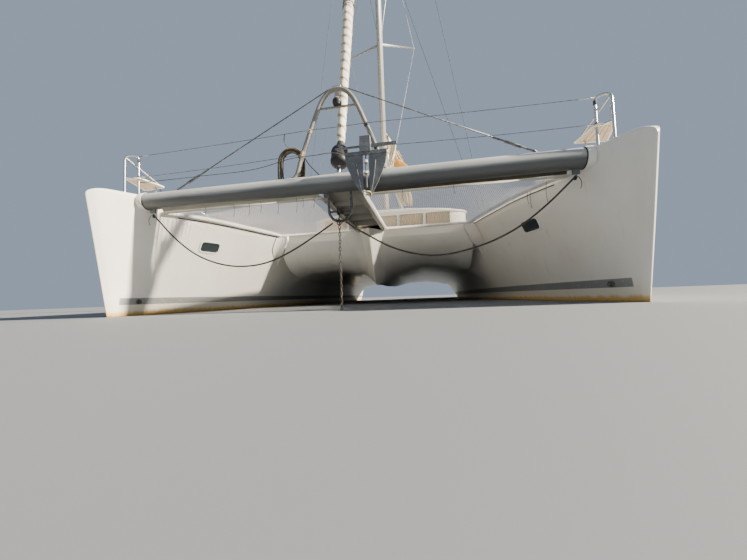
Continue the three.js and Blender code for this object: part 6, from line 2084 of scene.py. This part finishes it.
a = np.linspace(0, 2 * np.pi, 73)[:, None]
wheel_parts = [swept(HELM + WHEEL_RADIUS * round_helm(a), 0.0155, 14)]
for k in range(SPOKES):
    r = np.linspace(0.052, 0.372, 9)[:, None]
    bow = np.sin(math.pi * r / WHEEL_RADIUS) * [0, -0.006, 0]
    wheel_parts.append(swept(HELM + round_helm(math.radians(60 * k)) * r + bow, 0.0078, 10))
wheel_parts.append(sleeve(HELM, HUB, HUB_BORE))
piece("wheel_rim", wheel_parts, STAINLESS, "steel", "helm_wheel", replaces=["steering_wheel"])
t = np.linspace(0, 1, 700)[:, None]
over, wind = round_helm(np.radians(68 + 44 * t)), t * 2 * np.pi * WHIP_TURNS
whip = HELM + WHEEL_RADIUS * over + 0.0170 * (over * np.cos(wind) + np.array([0, 1.0, 0]) * np.sin(wind))
piece("wheel_whipping", [swept(whip, 0.0022, 5)], ROPE_WHITE, "rope", "helm_wheel")
piece("console_panel", [block((0.95, 2.690, 1.884), (1.55, 2.966, 1.892)),
                        turned((1.12, 2.83, 1.880), (1.12, 2.83, 1.945), [
                            (0, 0.085), (0.1, 0.088), (0.5, 0.085), (0.85, 0.062), (1, 0.02)], 32)],
      BLACK_PLASTIC, "black_casing", bevel=0.004)
piece("worktop", [block((-1.698, -1.495, 1.7002), (-1.065, 1.895, 1.728)),
                  block((-1.10, -1.690, 1.7002), (-0.305, -1.070, 1.728))], WHITE_PLASTIC, "gelcoat", bevel=0.006)
doors = [block((-1.0795, y + 0.01, 0.90), (-1.0690, y + 0.46, 1.62)) for y in np.linspace(-1.0, 1.4, 6)]
piece("galley_doors", doors, JOINERY, "joinery", bevel=0.004)

# %% [markdown]
# ## Screens, door, steps and boom end
#
# Woven screens are stretched behind the fore windows. The saloon's door is a frame of alloy about a dark
# pane. The steps at the sterns and the boom's ends are finished here too.

# %% Window screens
SCREEN_INSET, SCREEN_LOW, SCREEN_HIGH, SCREEN_AFT, SCREEN_THICK = 0.0615, 1.8905, 2.2345, -1.5305, 0.0022


def screen_shell():
    """A cloth along the house's inner face, from side to side round the front, as a thin closed shell."""
    flat = through(at_height(house_line(SCREEN_INSET, 40), 0), 400)[:, :2]
    flat = flat[flat[:, 1] <= SCREEN_AFT]
    way = unit(np.gradient(flat, axis=0))
    inward = np.stack([way[:, 1], -way[:, 0]], 1)
    inward *= np.sign(-(inward * flat).sum(1))[:, None]
    z = np.linspace(SCREEN_LOW, SCREEN_HIGH, 9)[None, :]
    run = run_of(flat)
    upward = np.pi * (z - SCREEN_LOW) / (SCREEN_HIGH - SCREEN_LOW)
    slack = 0.0006 * (1 + np.sin(run * 7.0))[:, None] * np.sin(upward)
    front = np.stack([flat[:, :1] + inward[:, :1] * slack, flat[:, 1:] + inward[:, 1:] * slack,
                      z + 0 * slack], -1)
    return thin(front, at_height(inward * SCREEN_THICK, 0)[:, None]), float(run[-1])


shell, screen_length = screen_shell()
screens = piece("sun_screens", [grid(shell)], SCREEN_MESH, "beige_cloth", replaces=["window_screens"])
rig.sheet(screens, flat=(round(screen_length, 3), SCREEN_HIGH - SCREEN_LOW), held="stretched",
         rests_on=["deckhouse"])
print("screens", round(screen_length, 3), "m long")

# %% Saloon door
DOOR_LOW, DOOR_HIGH = np.array((-0.790, 2.570, 0.8063)), np.array((0.010, 2.594, 2.480))
STILE, FOOT_RAIL, HEAD_RAIL, REBATE = 0.070, 0.140, 0.075, 0.004
(x0, y0, z0), (x1, y1, z1) = DOOR_LOW, DOOR_HIGH
door_parts = [block((a, y0, b), (c, y1, d)) for a, b, c, d in (
    (x0, z0, x0 + STILE, z1), (x1 - STILE, z0, x1, z1), (x0 + STILE, z0, x1 - STILE, z0 + FOOT_RAIL),
    (x0 + STILE, z1 - HEAD_RAIL, x1 - STILE, z1), (-0.720, 0.8008, -0.660, 0.822),
    (-0.120, 0.8008, -0.060, 0.822))]
piece("door_frame", door_parts, SPAR_ALLOY, "alloy", "sliding_door", replaces=["saloon_door"], bevel=0.003)
piece("door_pane", [block((x0 + STILE - REBATE, 2.578, z0 + FOOT_RAIL - REBATE),
                          (x1 - STILE + REBATE, 2.586, z1 - HEAD_RAIL + REBATE))], WINDOW_GLASS, "tinted_glass",
      "sliding_door")
grip = [(-0.755, y, z) for y, z in ((2.571, 1.55), (2.545, 1.55), (2.545, 1.75), (2.571, 1.75))]
piece("door_handles", [swept(rounded(grip, 0.012), 0.007, 10)], STAINLESS, "steel", "sliding_door")

# %% Pads on the stern steps, boom ends and net track
step_pads = []
for _, side in SIDES:
    for y, z, half in STERN_STEPS:
        deep = 0.35 if y < 6.0 else STERN - y
        outline = oblong((y + 0.045, -half + 0.055), (y + deep - 0.040, half - 0.055), 0.05, 6)
        low, high = [at_height(outline[:, ::-1] + [side * HULL_X, 0], z + up) for up in (-0.002, 0.003)]
        inset = high.mean(0) + (high - high.mean(0)) * 0.985 + [0, 0, 0.002]
        step_pads.append(grid(np.array([inset, high, low])))
piece("stern_step_pads", step_pads, NONSKID, "gelcoat")
tracks = [swept(on_side(side, np.linspace(-5.98, -4.16, 40), 1.375, 0.004), 0.0065, 8) for _, side in SIDES]
piece("net_tracks", tracks, BLACK_PLASTIC, "black_casing")
boom_caps = [turned((0, 4.335, 4.150), (0, 4.352, 4.150), [(0, 0.074), (0.5, 0.074), (1, 0.066)], 32)]
piece("boom_caps", boom_caps, BLACK_PLASTIC, "black_casing", "boom_and_bag")

# %% [markdown]
# Under each deck hatch and locker lid there is a pale frame round a dark well, which shows when the lid is
# up. The well is a shallow black plate, painted shade in place of the well's depth.

# %% Wells under the lids
LIDS = [  # x, y, half length along x, half length along y, height of the frame
    (HULL_X, -2.300, 0.260, 0.260, 1.4235), (0.900, -3.300, 0.380, 0.300, 1.4205)]
# the black plate is painted shade for the well's depth
for name, inset, up, finish, slot in (("lid_frames", 0.018, 0.0, WHITE_PLASTIC, "gelcoat"),
                                      ("lid_wells", 0.045, 0.0006, BLACK_PLASTIC, "black_casing")):
    piece(name, [block((side * x - half_x + inset, y - half_y + inset, top - 0.012),
                       (side * x + half_x - inset, y + half_y - inset, top + up))
                 for x, y, half_x, half_y, top in LIDS for _, side in SIDES], finish, slot)

# %% [markdown]
# ## Finishes for the pieces that the model already shapes
#
# Where the imported model has the right shape, that shape stays and gets its finish. The node's mesh is loose
# triangles, so a merged and smoothed copy of it, with the finish, stands for it.

# %% Merged copies of the model's nodes
def smooth_copy(node, material, slot, bevel):
    """A copy of a node's mesh with its doubles merged, shaded smooth up to a limit of angle between faces."""
    import bmesh
    source = frame["nodes"][node]
    mesh = bpy.data.meshes.new(node + "_finished")
    work = bmesh.new()
    work.from_mesh(source.data)
    bmesh.ops.remove_doubles(work, verts=work.verts, dist=2e-5)
    work.to_mesh(mesh)
    work.free()
    mesh.materials.clear()
    mesh.materials.append(material)
    mesh.polygons.foreach_set("material_index", [0] * len(mesh.polygons))
    mesh.polygons.foreach_set("use_smooth", [True] * len(mesh.polygons))
    mesh.set_sharp_from_angle(angle=math.radians(65 if slot == "steel" or node == "mast" else 38))
    thing = shown(node + "_finished", mesh)
    rounded_edges(thing, bevel, 50)
    rides(thing, source["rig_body"], [node], slot)


COPIES = [  # nodes, finish, slot, edge rounding in metres
    (("keel_port", "keel_starboard", "rudder_port", "rudder_starboard"), HULL_GELCOAT, "gelcoat", 0.0),
    (("drive_port", "drive_starboard"), BLACK_PLASTIC, "black_casing", 0.0),
    (("propeller_port", "propeller_starboard"), BRONZE, "bronze", 0.0),
    (("deckhouse", "coachroof", "hardtop"), DECK_GELCOAT, "gelcoat", 0.0),
    (("window_glass",), WINDOW_GLASS, "tinted_glass", 0.0),
    (("aft_window",), WINDOW_GLASS, "tinted_glass", 0.003),
    (("saloon_table", "galley", "cockpit_table"), JOINERY, "joinery", 0.008),
    (("helm_console",), DECK_GELCOAT, "gelcoat", 0.02),
    (("guard_rail_port", "guard_rail_starboard"), STAINLESS, "steel", 0.0),
    (("mast",), SPAR_ALLOY, "alloy", 0.0),
    (("shrouds_port", "shrouds_starboard"), DARK_WIRE, "steel", 0.0),
    (("forestay",), STAINLESS, "steel", 0.0),
    (("boom",), SPAR_ALLOY, "alloy", 0.0),
    (("deck_hatch_port", "deck_hatch_starboard"), HATCH_GLASS, "tinted_glass", 0.006),
    (("locker_lid_port", "locker_lid_starboard"), DECK_GELCOAT, "gelcoat", 0.006),
    (("boarding_ladder",), STAINLESS, "steel", 0.0),
]
for nodes, finish, slot, rounding in COPIES:
    for node in nodes:
        smooth_copy(node, finish, slot, rounding)
print("copies made, pieces now", len(PIECES))

# %% Sizes and finish
with open("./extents.json", "w") as file:
    json.dump({"cad": cad_box, "visual": [list(corner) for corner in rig.bounds()]}, file)
print("pieces", len(PIECES))
